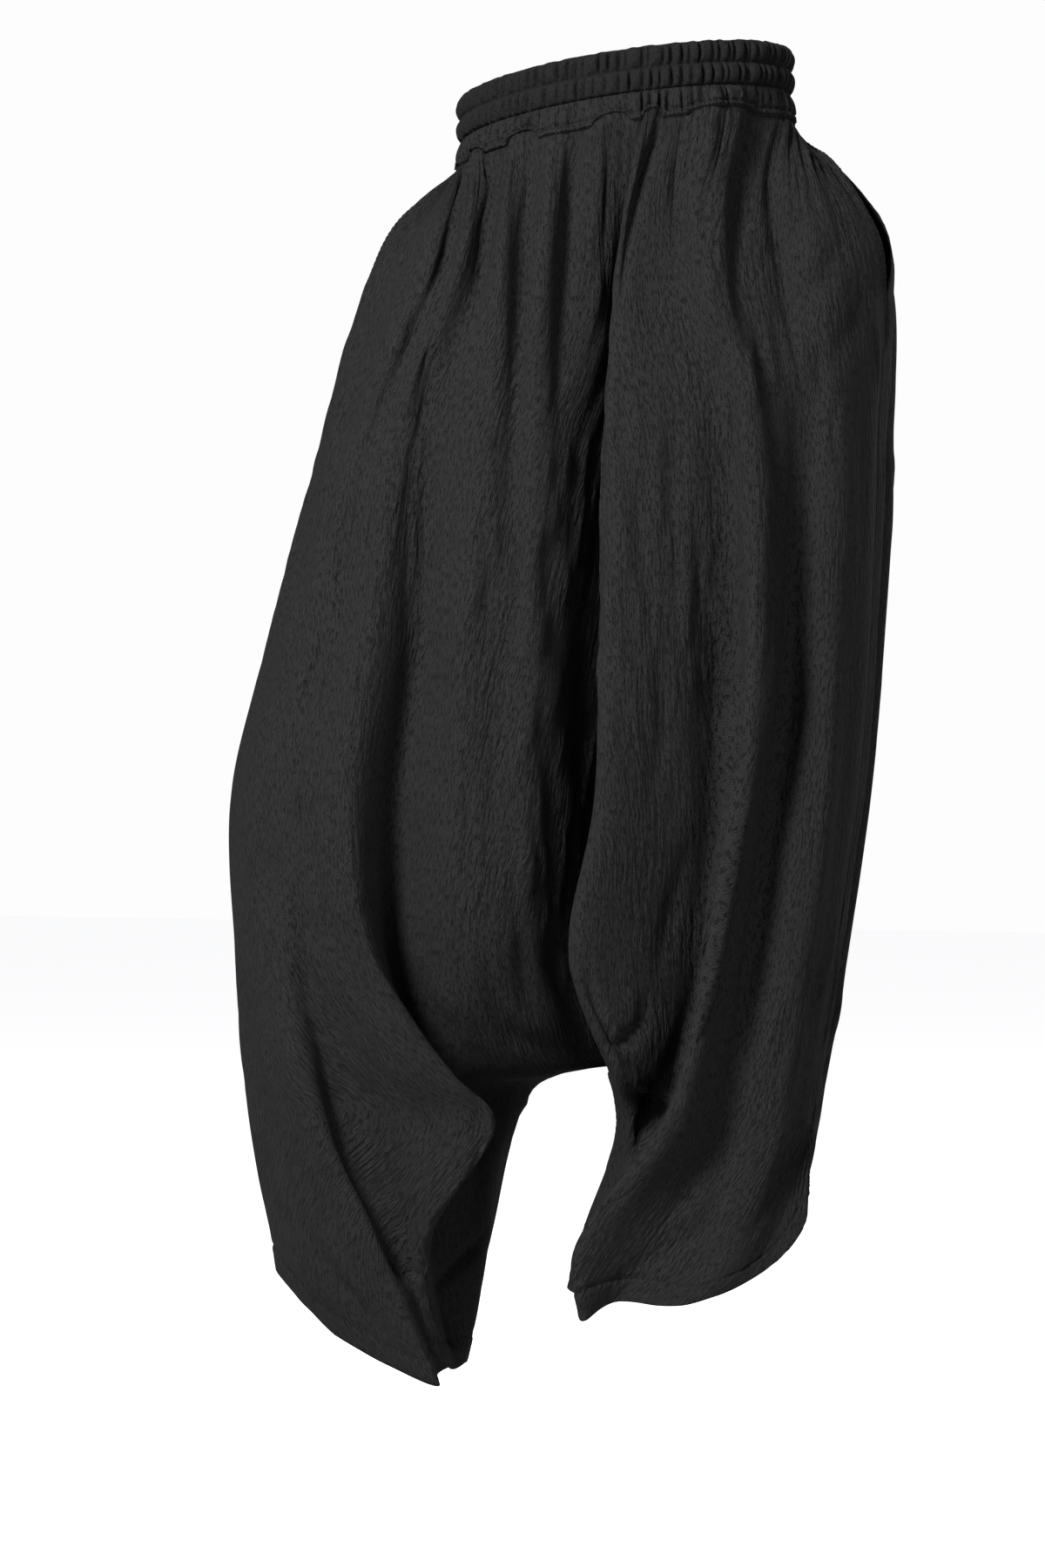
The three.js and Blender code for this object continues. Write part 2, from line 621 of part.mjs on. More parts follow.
// A pocket bag: a pouch that starts behind the two edges of the mouth and hangs in and forward.
function pocketGeometry(half) {
  const { top, bottom, open } = half.mouth;
  const high = mouthFrame(half, top).point;
  const low = mouthFrame(half, bottom).point;
  const long = low.clone().sub(high);
  const middle = mouthFrame(half, (top + bottom) / 2);
  const centre = high.clone().lerp(low, 0.5);
  const tall = long.length() / 2;
  long.normalize();
  const forward = middle.ahead.clone().addScaledVector(long, -middle.ahead.dot(long)).normalize();
  const inward = middle.inward.clone().addScaledVector(long, -middle.inward.dot(long)).normalize();
  const behindPanel = CLOTH / 2 + SEAM_GAP + BAG_CLOTH / 2;
  const loopOf = (place) => Array.from({ length: POCKET_COLUMNS }, (_, k) => (
    place(Math.cos(2 * Math.PI * k / POCKET_COLUMNS), Math.sin(2 * Math.PI * k / POCKET_COLUMNS))
  ));
  const mouthLoop = (slim) => loopOf((up, aside) => {
    const share = 0.5 - up * (0.5 - slim / (2 * tall));
    const at = mouthFrame(half, top + share * (bottom - top));
    const width = open / 2 * mouthShare(half.mouth, top + share * (bottom - top));
    const way = aside > 0 ? at.ahead : at.behind;
    at.point.addScaledVector(way, Math.max(width - slim, 0) * Math.min(Math.abs(aside) * MOUTH_EDGE, 1));
    return at.point.addScaledVector(at.inward, behindPanel + 2 * slim);
  });
  const path = POCKET_SECTIONS.map((section) => centre.clone()
    .addScaledVector(inward, section.inward)
    .addScaledVector(forward, section.forward * half.mouth.bagForward)
    .addScaledVector(long, section.down));
  const sectionLoop = (section, n, slim) => {
    const along = path[n].clone().sub(path[n - 1] ?? centre).normalize();
    const thick = along.clone().cross(long).normalize();
    if (thick.dot(forward) < 0) thick.negate();
    return loopOf((up, aside) => path[n].clone()
      .addScaledVector(long, -up * (section.tall - slim))
      .addScaledVector(thick, aside * (section.thick - slim)));
  };
  const loops = (slim) => [
    mouthLoop(slim),
    ...POCKET_SECTIONS.map((section, n) => sectionLoop(section, n, slim)),
  ];
  const end = path.at(-1);
  const onward = end.clone().sub(path.at(-2)).normalize();
  const inner = end.clone().addScaledVector(onward, BAG_CLOTH);
  const outer = end.clone().addScaledVector(onward, 2 * BAG_CLOTH);
  return cappedGeometry([...loops(BAG_CLOTH).reverse(), ...loops(0)], inner, outer);
}

const garment = new THREE.Group();
garment.name = "harem_pants";
garment.rotation.z = HIP_TURN;
garment.position.z = BAND_BELOW_DATUM;

function addPiece(name, geometry, look) {
  const piece = new THREE.Mesh(geometry, new THREE.MeshStandardMaterial(look));
  piece.name = name;
  garment.add(piece);
}

addPiece("waistband", bandGeometry(), BAND_CLOTH);
addPiece("yoke_front", yokeGeometry(ringColumns("front")), DARK_CLOTH);
addPiece("yoke_back", yokeGeometry(ringColumns("back")), DARK_CLOTH);
for (const [name, half] of [["right", right], ["left", left]]) {
  const last = half.columns.length - 1;
  addPiece(`front_${name}`, panelGeometry(half, 0, half.side), DARK_CLOTH);
  addPiece(`back_${name}`, panelGeometry(half, half.side, last), DARK_CLOTH);
  addPiece(`pocket_bag_${name}`, pocketGeometry(half), POCKET_CLOTH);
}

export default garment;
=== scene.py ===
# %% [markdown]
# # Harem pants with a dropped crotch
# The pants hang as they do when worn, but they are empty. Each cut piece of the real garment is
# one mesh here: two front and two back panels, two yoke strips, the waistband and two pocket
# bags. Stitching is laid on them afterwards.
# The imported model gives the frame. Its solids give size and collision, and each one is replaced
# by finer cloth of the same form.

# %% Load the frame
import math

import bpy
import numpy as np
from mathutils import Matrix, Vector


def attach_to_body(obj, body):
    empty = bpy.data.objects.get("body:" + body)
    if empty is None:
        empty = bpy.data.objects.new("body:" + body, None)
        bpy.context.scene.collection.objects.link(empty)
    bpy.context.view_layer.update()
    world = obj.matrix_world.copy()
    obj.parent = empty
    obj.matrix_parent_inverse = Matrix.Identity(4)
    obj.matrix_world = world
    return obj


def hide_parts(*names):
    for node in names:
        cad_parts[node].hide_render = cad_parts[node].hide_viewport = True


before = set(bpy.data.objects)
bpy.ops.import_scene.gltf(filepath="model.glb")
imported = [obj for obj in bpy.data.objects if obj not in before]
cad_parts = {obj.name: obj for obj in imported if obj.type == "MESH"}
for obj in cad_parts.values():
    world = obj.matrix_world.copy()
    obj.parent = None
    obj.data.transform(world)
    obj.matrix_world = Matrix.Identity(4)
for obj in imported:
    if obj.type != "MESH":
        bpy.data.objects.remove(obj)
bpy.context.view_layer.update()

# %% [markdown]
# ## Driving sizes
# All form is worked out in millimetres, in a drawing frame whose front faces the camera. The
# hips are turned from it by 30 degrees, and a last step turns every piece back into the frame's
# axes and into metres.

# %% Driving sizes
MM = 0.001
WAIST_ACROSS = 134
WAIST_DEEP = 104
HIP_TURN = math.radians(30)
HIP_ROLL = math.tan(math.radians(6.1))
HIP_PITCH = math.tan(math.radians(3.1))
BAND_HEIGHT = 34
BAND_BELOW_DATUM = 5
YOKE_DEPTH = 23
YOKE_FLARE = 4
CENTRE_FRONT = math.radians(63)
QUARTER = math.pi / 2
CLOTH = 1.4
SEAM_GAP = 0.3
HEM_DEPTH = 25
print("waist, mm", 2 * WAIST_ACROSS, "by", 2 * WAIST_DEEP)

# %% [markdown]
# ## The fold lines
# Draped cloth is easiest to describe by the lines that run down its crests and hollows. Each row
# below is one line. Its first column is its place on the waist, as a share of the quarter that
# the panel covers. The others are (x, y) at each level, with a z of its own where the hem curves.
# The alternative, a cloth simulation on a figure, gives folds of its own and not these.

# %% Levels and fold lines
LEVEL_NAMES = ("ring", "hip", "thigh", "mid", "knee", "low", "crotch", "calf", "shin", "hem")
LEVEL_Z = (0, -130, -280, -430, -560, -680, -771, -808, -905, -950)
LOW, CROTCH, HEM = 5, 6, 9
# Columns: ring, hip, thigh, mid, knee, low, crotch, calf, shin, hem.
RIGHT_FRONT = [
    (0, (1, -92), (-13, -98), (-15, -92), (-15, -80), (-20, -62),
     (-5, -10), (-78, 52, -806), (-105, 62, -898), (-128, 70, -1003)),
    (0.32, (-63, -122), (-66, -150), (-71, -158), (-74, -148), (-74, -118),
     (-67, -58), (-84, 6, -790), (-108, 12), (-126, 15, -1006)),
    (0.52, (-96, -128), (-108, -152), (-127, -160), (-130, -152), (-131, -125),
     (-118, -64), (-108, -22, -794), (-110, -28), (-127, -20, -1005)),
    (0.61, (-108, -118), (-150, -132), (-155, -128), (-178, -112), (-182, -80),
     (-160, -62, -775), (-135, -75, -812), (-148, -60), (-134, -35, -1008)),
    (0.74, (-124, -128), (-177, -140), (-196, -150), (-212, -150), (-196, -140),
     (-136, -130), (-103, -120), (-157, -105), (-139, -60, -1004)),
    (0.83, (-135, -112), (-194, -125), (-223, -128), (-255, -120), (-238, -112),
     (-220, -105), (-210, -100), (-175, -90), (-147, -72, -1008)),
    (0.89, (-146, -112), (-204, -118), (-247, -112), (-290, -75), (-269, -95),
     (-251, -105), (-239, -108), (-193, -108), (-146, -90, -1015)),
    (0.95, (-168, -70), (-222, -70), (-268, -60), (-306, -25), (-292, -50),
     (-283, -60), (-276, -60), (-248, -65), (-220, -45, -984)),
]
RIGHT_SIDE = [
    (1, (-194, 25), (-240, 32), (-280, 38), (-311, 35), (-309, 30),
     (-302, 28), (-298, 28), (-284, 30, -895), (-277, 35, -938)),
]
RIGHT_BACK = [
    (0.25, (-165, 100), (-205, 135), (-240, 150), (-265, 160), (-265, 155),
     (-262, 148), (-255, 140), (-245, 125), (-245, 115, -965)),
    (0.5, (-105, 130), (-130, 160), (-155, 178), (-170, 190), (-175, 185),
     (-180, 175), (-185, 165), (-190, 150), (-195, 145, -990)),
    (0.75, (-60, 146), (-75, 180), (-85, 190), (-90, 185), (-95, 168),
     (-90, 140), (-110, 125), (-130, 125), (-145, 125, -1003)),
    (1, (-12, 136), (-15, 158), (-15, 160), (-15, 145), (-12, 105),
     (-5, -10), (-78, 52, -806), (-105, 62, -898), (-128, 70, -1003)),
]
LEFT_FRONT = [
    (0, (1, -92), (-13, -98), (-15, -92), (-15, -80), (-20, -62),
     (-5, -10), (2, 0, -810), (-30, -5, -900), (-40, -20, -945)),
    (0.045, (-5, -125), (-14, -155), (-18, -172), (-22, -175), (-42, -165),
     (-8, -140), (3, -100, -812), (-20, -85), (-38, -80, -946)),
    (0.18, (35, -118), (65, -150), (66, -150), (67, -138), (56, -125),
     (42, -112), (25, -100), (-25, -120), (-36, -120, -948)),
    (0.38, (60, -128), (95, -158), (98, -165), (79, -172), (60, -175),
     (42, -178), (28, -180), (-40, -165), (-34, -160, -957)),
    (0.73, (112, -100), (133, -125), (132, -125), (121, -130), (104, -132),
     (89, -135), (77, -137), (15, -150), (-12, -142, -945)),
    (0.83, (143, -105), (162, -118), (159, -120), (150, -122), (135, -125),
     (123, -128), (116, -130), (83, -150, -900), (46, -175, -942)),
    (0.92, (173, -85), (181, -95), (177, -97), (166, -100), (148, -105),
     (135, -108), (130, -110), (117, -120, -882), (97, -145, -925)),
    (0.965, (188, -68), (192, -78), (186, -80), (175, -84), (157, -90),
     (143, -95), (139, -98), (133, -104, -850), (133, -122, -893)),
]
LEFT_SIDE = [
    (1, (196, -50), (196, -60), (190, -62), (180, -65), (162, -75),
     (148, -82), (144, -85), (141, -88, -826), (140, -92, -848)),
]
LEFT_BACK = [
    (0.1, (204, -20), (207, -33), (200, -36), (190, -40), (171, -50),
     (155, -58), (150, -62), (143, -64, -836), (139, -62, -862)),
    (0.27, (203, 20), (211, 8), (204, -2), (193, -8), (174, -22),
     (158, -32), (150, -38), (138, -42, -868), (124, -32, -908)),
    (0.5, (150, 95), (160, 105), (155, 105), (150, 90), (135, 68),
     (125, 40), (120, 22), (100, 5), (90, 5, -935)),
    (0.75, (55, 135), (60, 160), (60, 160), (58, 140), (52, 105),
     (50, 60), (48, 40), (28, 15), (20, 10, -945)),
    (1, (-12, 136), (-15, 158), (-15, 160), (-15, 145), (-12, 105),
     (-5, -10), (2, 0, -810), (-30, -5, -900), (-40, -20, -945)),
]

print("levels, mm", dict(zip(LEVEL_NAMES, LEVEL_Z)))

# %% [markdown]
# ## Smaller folds
# Pleats and soft hollows ride on those lines. Each fold says where it starts on the waist, how
# wide it is as a share of the quarter, how far it rises, and between which level numbers it
# fades in and out.

# %% Smaller folds
# Columns: ring, width, rise, start, end.
RIGHT_FRONT_FOLDS = [
    (0.13, 0.09, 5, -1, 2.6),
    (0.235, 0.08, -5, -1, 2.4),
    (0.42, 0.09, -8, -1, 5),
    (0.89, 0.06, 3, -1, 3),
]
LEFT_FRONT_FOLDS = [
    (0.11, 0.06, -5, -1, 2),
    (0.29, 0.1, 4, -1, 1.6),
    (0.55, 0.12, -4, -1, 3),
    (0.66, 0.08, 3, 2, 8),
]
RIGHT_BACK_FOLDS = [
    (0.14, 0.1, -8, -1, 6),
    (0.37, 0.1, -10, -1, 7),
    (0.62, 0.1, -9, 0, 6),
    (0.86, 0.1, -7, -1, 5),
]
LEFT_BACK_FOLDS = [
    (0.14, 0.09, -7, 0, 7),
    (0.36, 0.1, -11, -1, 8),
    (0.6, 0.11, -9, -1, 6),
    (0.85, 0.1, -12, 0, 6),
]
# Pleats on the yoke seam, in degrees from the front towards the wearer's right, where the seam
# steps up. Columns: from, to, lift.
PLEATS = [
    (-77, -45, 6), (-37, -29, 8), (-25, -12, 8), (7, 20, 9), (33, 45, 7), (66, 78, 6),
    (132, 146, 5), (170, 186, 6), (214, 228, 5),
]
print("pleats", len(PLEATS))


# %% [markdown]
# ## Curves through the lines
# A centripetal Catmull-Rom curve passes through its points without loops, so one function can
# run down each line and then across the lines of every row. The seams under the crotch turn
# sharply, so there a quarter of an ellipse takes its place.

# %% Curve helpers
def smoothstep(value, low, high):
    share = np.clip((value - low) / (high - low), 0, 1)
    return share * share * (3 - 2 * share)


def between(a, b, c, d, share):
    """The centripetal Catmull-Rom curve from b to c."""
    share = np.asarray(share)[..., None]
    gaps = [np.maximum(np.linalg.norm(q - p, axis=-1, keepdims=True), 1e-6) ** 0.5
            for p, q in ((a, b), (b, c), (c, d))]
    g0, g1, g2 = gaps
    leave = ((b - a) / g0 - (c - a) / (g0 + g1) + (c - b) / g1) * g1
    arrive = ((c - b) / g1 - (d - b) / (g1 + g2) + (d - c) / g2) * g1
    square, cube = share * share, share ** 3
    return (b + leave * share + (3 * (c - b) - 2 * leave - arrive) * square
            + (2 * (b - c) + leave + arrive) * cube)


def waist_point(angle, grow, height):
    across = (WAIST_ACROSS + grow) * np.cos(angle)
    deep = -(WAIST_DEEP + grow) * np.sin(angle)
    x = across * math.cos(HIP_TURN) + deep * math.sin(HIP_TURN)
    y = -across * math.sin(HIP_TURN) + deep * math.cos(HIP_TURN)
    z = height + x * HIP_ROLL - y * HIP_PITCH - BAND_BELOW_DATUM
    return np.stack([x, y, z], axis=-1)


def line_points(row, angle):
    """The points of one fold line at every level."""
    points = [waist_point(angle, YOKE_FLARE, -BAND_HEIGHT / 2 - YOKE_DEPTH)]
    for level, place in enumerate(row[1:], start=1):
        z = place[2] if len(place) == 3 else LEVEL_Z[level]
        points.append(np.array([place[0], place[1], z]))
    return np.array(points, float)


def run_down(points, seam, levels):
    """A fold line at level numbers that needn't be whole."""
    first = 2 * points[0] - points[1]
    last = 2 * points[-1] - points[-2]
    padded = np.vstack([first, points, last])
    start = np.minimum(np.floor(levels).astype(int), HEM - 1)
    share = levels - start
    line = between(padded[start], padded[start + 1], padded[start + 2], padded[start + 3], share)
    if seam:
        early = np.sin(share * QUARTER)[:, None]
        late = 1 - np.cos(share * QUARTER)[:, None]
        for level, quick in ((LOW, [0, 0, 1]), (CROTCH, [1, 1, 0])):
            here = start == level
            step = points[level + 1] - points[level]
            part = np.where(np.array(quick, bool), early, late)
            line[here] = (points[level] + step * part)[here]
    return line


# %% [markdown]
# ## The two halves
# The mesh's columns and rows are spaced by the real length of the cloth between two lines or two
# levels, so its faces stay a few millimetres wide. Above the crotch a row runs on into the other
# half, and below it closes round the leg.

# %% Rows and columns
COLUMN_PITCH = 3.2
ROW_PITCH = 6
HEM_ROW_PITCH = 2.4
# Columns: length of the cloth down to the next level, and the pitch of its rows.
LEVEL_LENGTHS = [(length, ROW_PITCH) for length in (80, 150, 150, 130, 122, 110, 55, 95)]
LEVEL_LENGTHS.append((75, HEM_ROW_PITCH))
row_levels = np.concatenate([
    level + np.arange(round(length / pitch)) / round(length / pitch)
    for level, (length, pitch) in enumerate(LEVEL_LENGTHS)
] + [[HEM]])
crotch_row = int(np.argmin(np.abs(row_levels - CROTCH)))


def make_half(front, side, back, turn, front_folds, back_folds, mouth):
    lines = [(row, row[0], i == 0) for i, row in enumerate(front)]
    lines += [(row, row[0], False) for row in side]
    lines += [(row, row[0] + 1, i == len(back) - 1) for i, row in enumerate(back)]
    runs, rings = [], []
    for row, ring, seam in lines:
        points = line_points(row, CENTRE_FRONT + turn * ring * QUARTER)
        runs.append(run_down(points, seam, row_levels))
        rings.append(ring)
    runs = np.array(runs)
    spans, shares = [], []
    for i in range(len(lines) - 1):
        width = np.linalg.norm(runs[i + 1] - runs[i], axis=1).max()
        count = max(3, round(width / COLUMN_PITCH))
        spans += [i] * count
        shares += [k / count for k in range(count)]
    spans.append(len(lines) - 2)
    shares.append(1.0)
    spans, shares, rings = np.array(spans), np.array(shares), np.array(rings)
    ring = rings[spans] + (rings[spans + 1] - rings[spans]) * shares
    folds = list(front_folds) + [(fold[0] + 1, *fold[1:]) for fold in back_folds]
    return {
        "runs": runs, "spans": spans, "shares": shares, "ring": ring, "turn": turn,
        "angle": CENTRE_FRONT + turn * ring * QUARTER, "folds": folds, "mouth": mouth,
        "side": int(np.argmax(spans >= len(front))),
    }


# The pocket mouths. top and bottom are level numbers, open the width, push how far the edges
# stand off the hips, and reach how far along the cloth that spreads.
RIGHT_MOUTH = {"top": 0.2, "bottom": 1.25, "open": 34, "push": 3, "reach": 60, "bag_forward": 1}
LEFT_MOUTH = {"top": 0.2, "bottom": 1.25, "open": 34, "push": 9, "reach": 60, "bag_forward": 0.25}
right = make_half(RIGHT_FRONT, RIGHT_SIDE, RIGHT_BACK, 1,
                  RIGHT_FRONT_FOLDS, RIGHT_BACK_FOLDS, RIGHT_MOUTH)
left = make_half(LEFT_FRONT, LEFT_SIDE, LEFT_BACK, -1,
                 LEFT_FRONT_FOLDS, LEFT_BACK_FOLDS, LEFT_MOUTH)
print("columns", len(right["spans"]), len(left["spans"]), "rows", len(row_levels))


# %% [markdown]
# ## The middle of the cloth
# A wall of cloth is built out both ways from its middle, so that comes first: the lines are joined
# across every row, and the smaller folds and pleats lift it along its normals. The two halves look
# up each other's columns at the centre seams, so they meet without a kink.

# %% The middle of the cloth
def half_grid(half, other):
    runs = half["runs"]
    closed = smoothstep(CROTCH - row_levels, -0.5, 0.5)[:, None]
    before = runs[-2] + (other["runs"][1] - runs[-2]) * closed
    after = runs[1] + (other["runs"][-2] - runs[1]) * closed
    through = np.concatenate([before[None], runs, after[None]])
    grid = [between(through[span], through[span + 1], through[span + 2], through[span + 3],
                    np.full(len(row_levels), share))
            for span, share in zip(half["spans"], half["shares"])]
    return np.array(grid).transpose(1, 0, 2)


def grid_normals(grid, other, turn):
    """Normals that agree on both sides of every seam, pointing out of the garment."""
    above = (np.arange(len(grid)) <= crotch_row)[:, None]
    before = np.where(above, other[:, 1], grid[:, -2])
    after = np.where(above, other[:, -2], grid[:, 1])
    wide = np.concatenate([before[:, None], grid, after[:, None]], axis=1)
    tall = np.concatenate([grid[:1], grid, grid[-1:]])
    normal = -turn * np.cross(wide[:, 2:] - wide[:, :-2], tall[:-2] - tall[2:])
    normal[0, :, 2] = normal[0, :, 0] * HIP_ROLL - normal[0, :, 1] * HIP_PITCH
    normal[crotch_row, [0, -1]] = [0, 0, -1]
    return normal / np.linalg.norm(normal, axis=2, keepdims=True)


def fold_rise(half):
    """How far the smaller folds lift the cloth off the lines."""
    rise = np.zeros((len(row_levels), len(half["ring"])))
    for ring, width, height, start, end in half["folds"]:
        aside = np.clip(np.abs(half["ring"] - ring) / width, 0, 1)
        fade = smoothstep(row_levels, start, start + 1.2)
        fade *= 1 - smoothstep(row_levels, end - 1.5, end)
        rise += height * fade[:, None] * (0.5 + 0.5 * np.cos(np.pi * aside))[None]
    return rise


def mouth_share(mouth, levels):
    share = np.clip((levels - mouth["top"]) / (mouth["bottom"] - mouth["top"]), 0, 1)
    return np.sin(np.pi * share) ** 0.8


def pleat_lift(angle):
    turned = np.degrees(angle) - 90
    lift = np.zeros(np.shape(angle))
    for start, end, height in PLEATS:
        share = ((turned - start) % 360) / (end - start)
        arch = np.sqrt(np.abs(np.sin(np.pi * np.minimum(share, 1))))
        lift = np.where(share < 1, height * arch, lift)
    return lift


def drape(half, grid, normals):
    """Adds the smaller folds, the pockets' push and the pleats to the plain grid."""
    away = np.linalg.norm(grid - grid[:, half["side"]][:, None], axis=2)
    near = 1 - np.minimum(away / half["mouth"]["reach"], 1)
    push = half["mouth"]["push"] * mouth_share(half["mouth"], row_levels)[:, None] * near
    draped = grid + normals * (fold_rise(half) + push)[..., None]
    draped[0, :, 2] += pleat_lift(half["angle"])
    fade = (1 - smoothstep(row_levels, 0, 0.35))[1:, None] * pleat_lift(half["angle"])[None]
    draped[1:, :, 2] += fade
    return draped


plain = {"right": half_grid(right, left), "left": half_grid(left, right)}
base = {"right": grid_normals(plain["right"], plain["left"], right["turn"]),
        "left": grid_normals(plain["left"], plain["right"], left["turn"])}
right["grid"] = drape(right, plain["right"], base["right"])
left["grid"] = drape(left, plain["left"], base["left"])

# %% [markdown]
# ## Gathers and crinkle
# The cloth is crepe: it is woven with threads that shrink, so it puckers lengthwise all over.
# The larger wrinkles are real form, worked out from smooth noise that is much longer than it is
# wide. The smallest puckers come later, as bump. A displace modifier could do the same, but it
# can't follow the cloth's own grain where the panels widen.

# %% Noise along the grain
WAIST_GATHERS = 100
YOKE_GATHERS_SEED = 96
WRINKLE_HEIGHT = 4
SOFT_HEIGHT = 1.1


def gather_dips(angle, seed):
    """How deep the cloth dips between gathers that are spaced unevenly round the waist."""
    draw = np.random.default_rng(seed)
    pitch = 2 * np.pi / WAIST_GATHERS
    places = (np.arange(WAIST_GATHERS) + draw.uniform(-0.32, 0.32, WAIST_GATHERS)) * pitch
    depths = draw.uniform(2.6, 6.2, WAIST_GATHERS)
    widths = draw.uniform(0.15, 0.32, WAIST_GATHERS) * pitch
    apart = (angle[:, None] - places[None] + np.pi) % (2 * np.pi) - np.pi
    return (depths * np.exp(-(apart / widths) ** 2)).sum(axis=1)


def lattice_noise(u, v, across, along, seed):
    """Smooth noise from -1 to 1, in cells of across by along millimetres."""
    cells = np.random.default_rng(seed).uniform(-1, 1, (256, 256))
    a, b = np.asarray(u) / across, np.asarray(v) / along
    i, j = np.floor(a).astype(int), np.floor(b).astype(int)
    s, t = smoothstep(a - i, 0, 1), smoothstep(b - j, 0, 1)
    corner = [[cells[(i + p) % 256, (j + q) % 256] for q in (0, 1)] for p in (0, 1)]
    near = corner[0][0] * (1 - t) + corner[0][1] * t
    far = corner[1][0] * (1 - t) + corner[1][1] * t
    return near * (1 - s) + far * s


# The cloth's width is measured each way from the middle of a panel, round each row. Above this
# level it is gathered, so there it keeps the width that it has at that level.
UNGATHERED = 1.4
for half, seed, calm in ((right, 11, 0.85), (left, 12, 0.4)):
    grid = half["grid"]
    steps = np.linalg.norm(np.diff(grid, axis=1), axis=2)
    across = np.hstack([np.zeros((len(grid), 1)), np.cumsum(steps, axis=1)])
    flat_row = int(np.argmin(np.abs(row_levels - UNGATHERED)))
    ungathered = smoothstep(row_levels, UNGATHERED - 0.6, UNGATHERED + 0.8)[:, None]
    middles = [int(np.argmin(np.abs(half["ring"] - ring))) for ring in (0.74, 1.5)]
    middle = np.where(np.arange(grid.shape[1]) <= half["side"], *middles)
    from_middle = across - across[:, middle] + across[flat_row, middle]
    half["u"] = across[flat_row][None] * (1 - ungathered) + from_middle * ungathered
    drops = np.linalg.norm(np.diff(grid, axis=0), axis=2)
    half["v"] = np.vstack([np.zeros(grid.shape[1]), np.cumsum(drops, axis=0)])
    half["from_hem"] = half["v"][-1] - half["v"]
    u, v = half["u"], half["v"]
    at_waist = 1 - smoothstep(row_levels, 0.1, 2.2)[:, None]
    broad, narrow = lattice_noise(u, v, 24, 200, seed), lattice_noise(u, v, 10, 150, seed + 5)
    gathers = at_waist * (2.4 * broad + 1.5 * narrow)
    swing = u + 9 * lattice_noise(u, v, 45, 75, seed + 10)
    patches = 0.08 + 0.92 * smoothstep(lattice_noise(u, v, 110, 190, seed + 50), -0.3, 0.6)
    patches *= 1 - calm * smoothstep(row_levels, LOW - 0.7, CROTCH + 0.5)[:, None]
    sharp = np.maximum(lattice_noise(swing, v, 6.5, 44, seed + 20) - 0.1, 0)
    sharp += np.maximum(lattice_noise(swing + 300, v, 9, 62, seed + 30) - 0.2, 0)
    soft = lattice_noise(u, v, 34, 120, seed + 40)
    under_yoke = (1 - smoothstep(row_levels, 0, 1.1))[:, None]
    gathers -= under_yoke * 0.7 * gather_dips(half["angle"], YOKE_GATHERS_SEED)[None]
    half["relief"] = gathers + WRINKLE_HEIGHT * patches * sharp + SOFT_HEIGHT * soft
print("cloth widths, mm", round(right["u"].max()), round(left["u"].max()))

# %% [markdown]
# ## Creases
# Where the cloth is caught at the waist, the crotch and the hems it breaks into creases. Each row
# runs one through a few points, as it is seen from the front or the back. A sculpted mesh could
# hold them too, but a table can be read and changed.

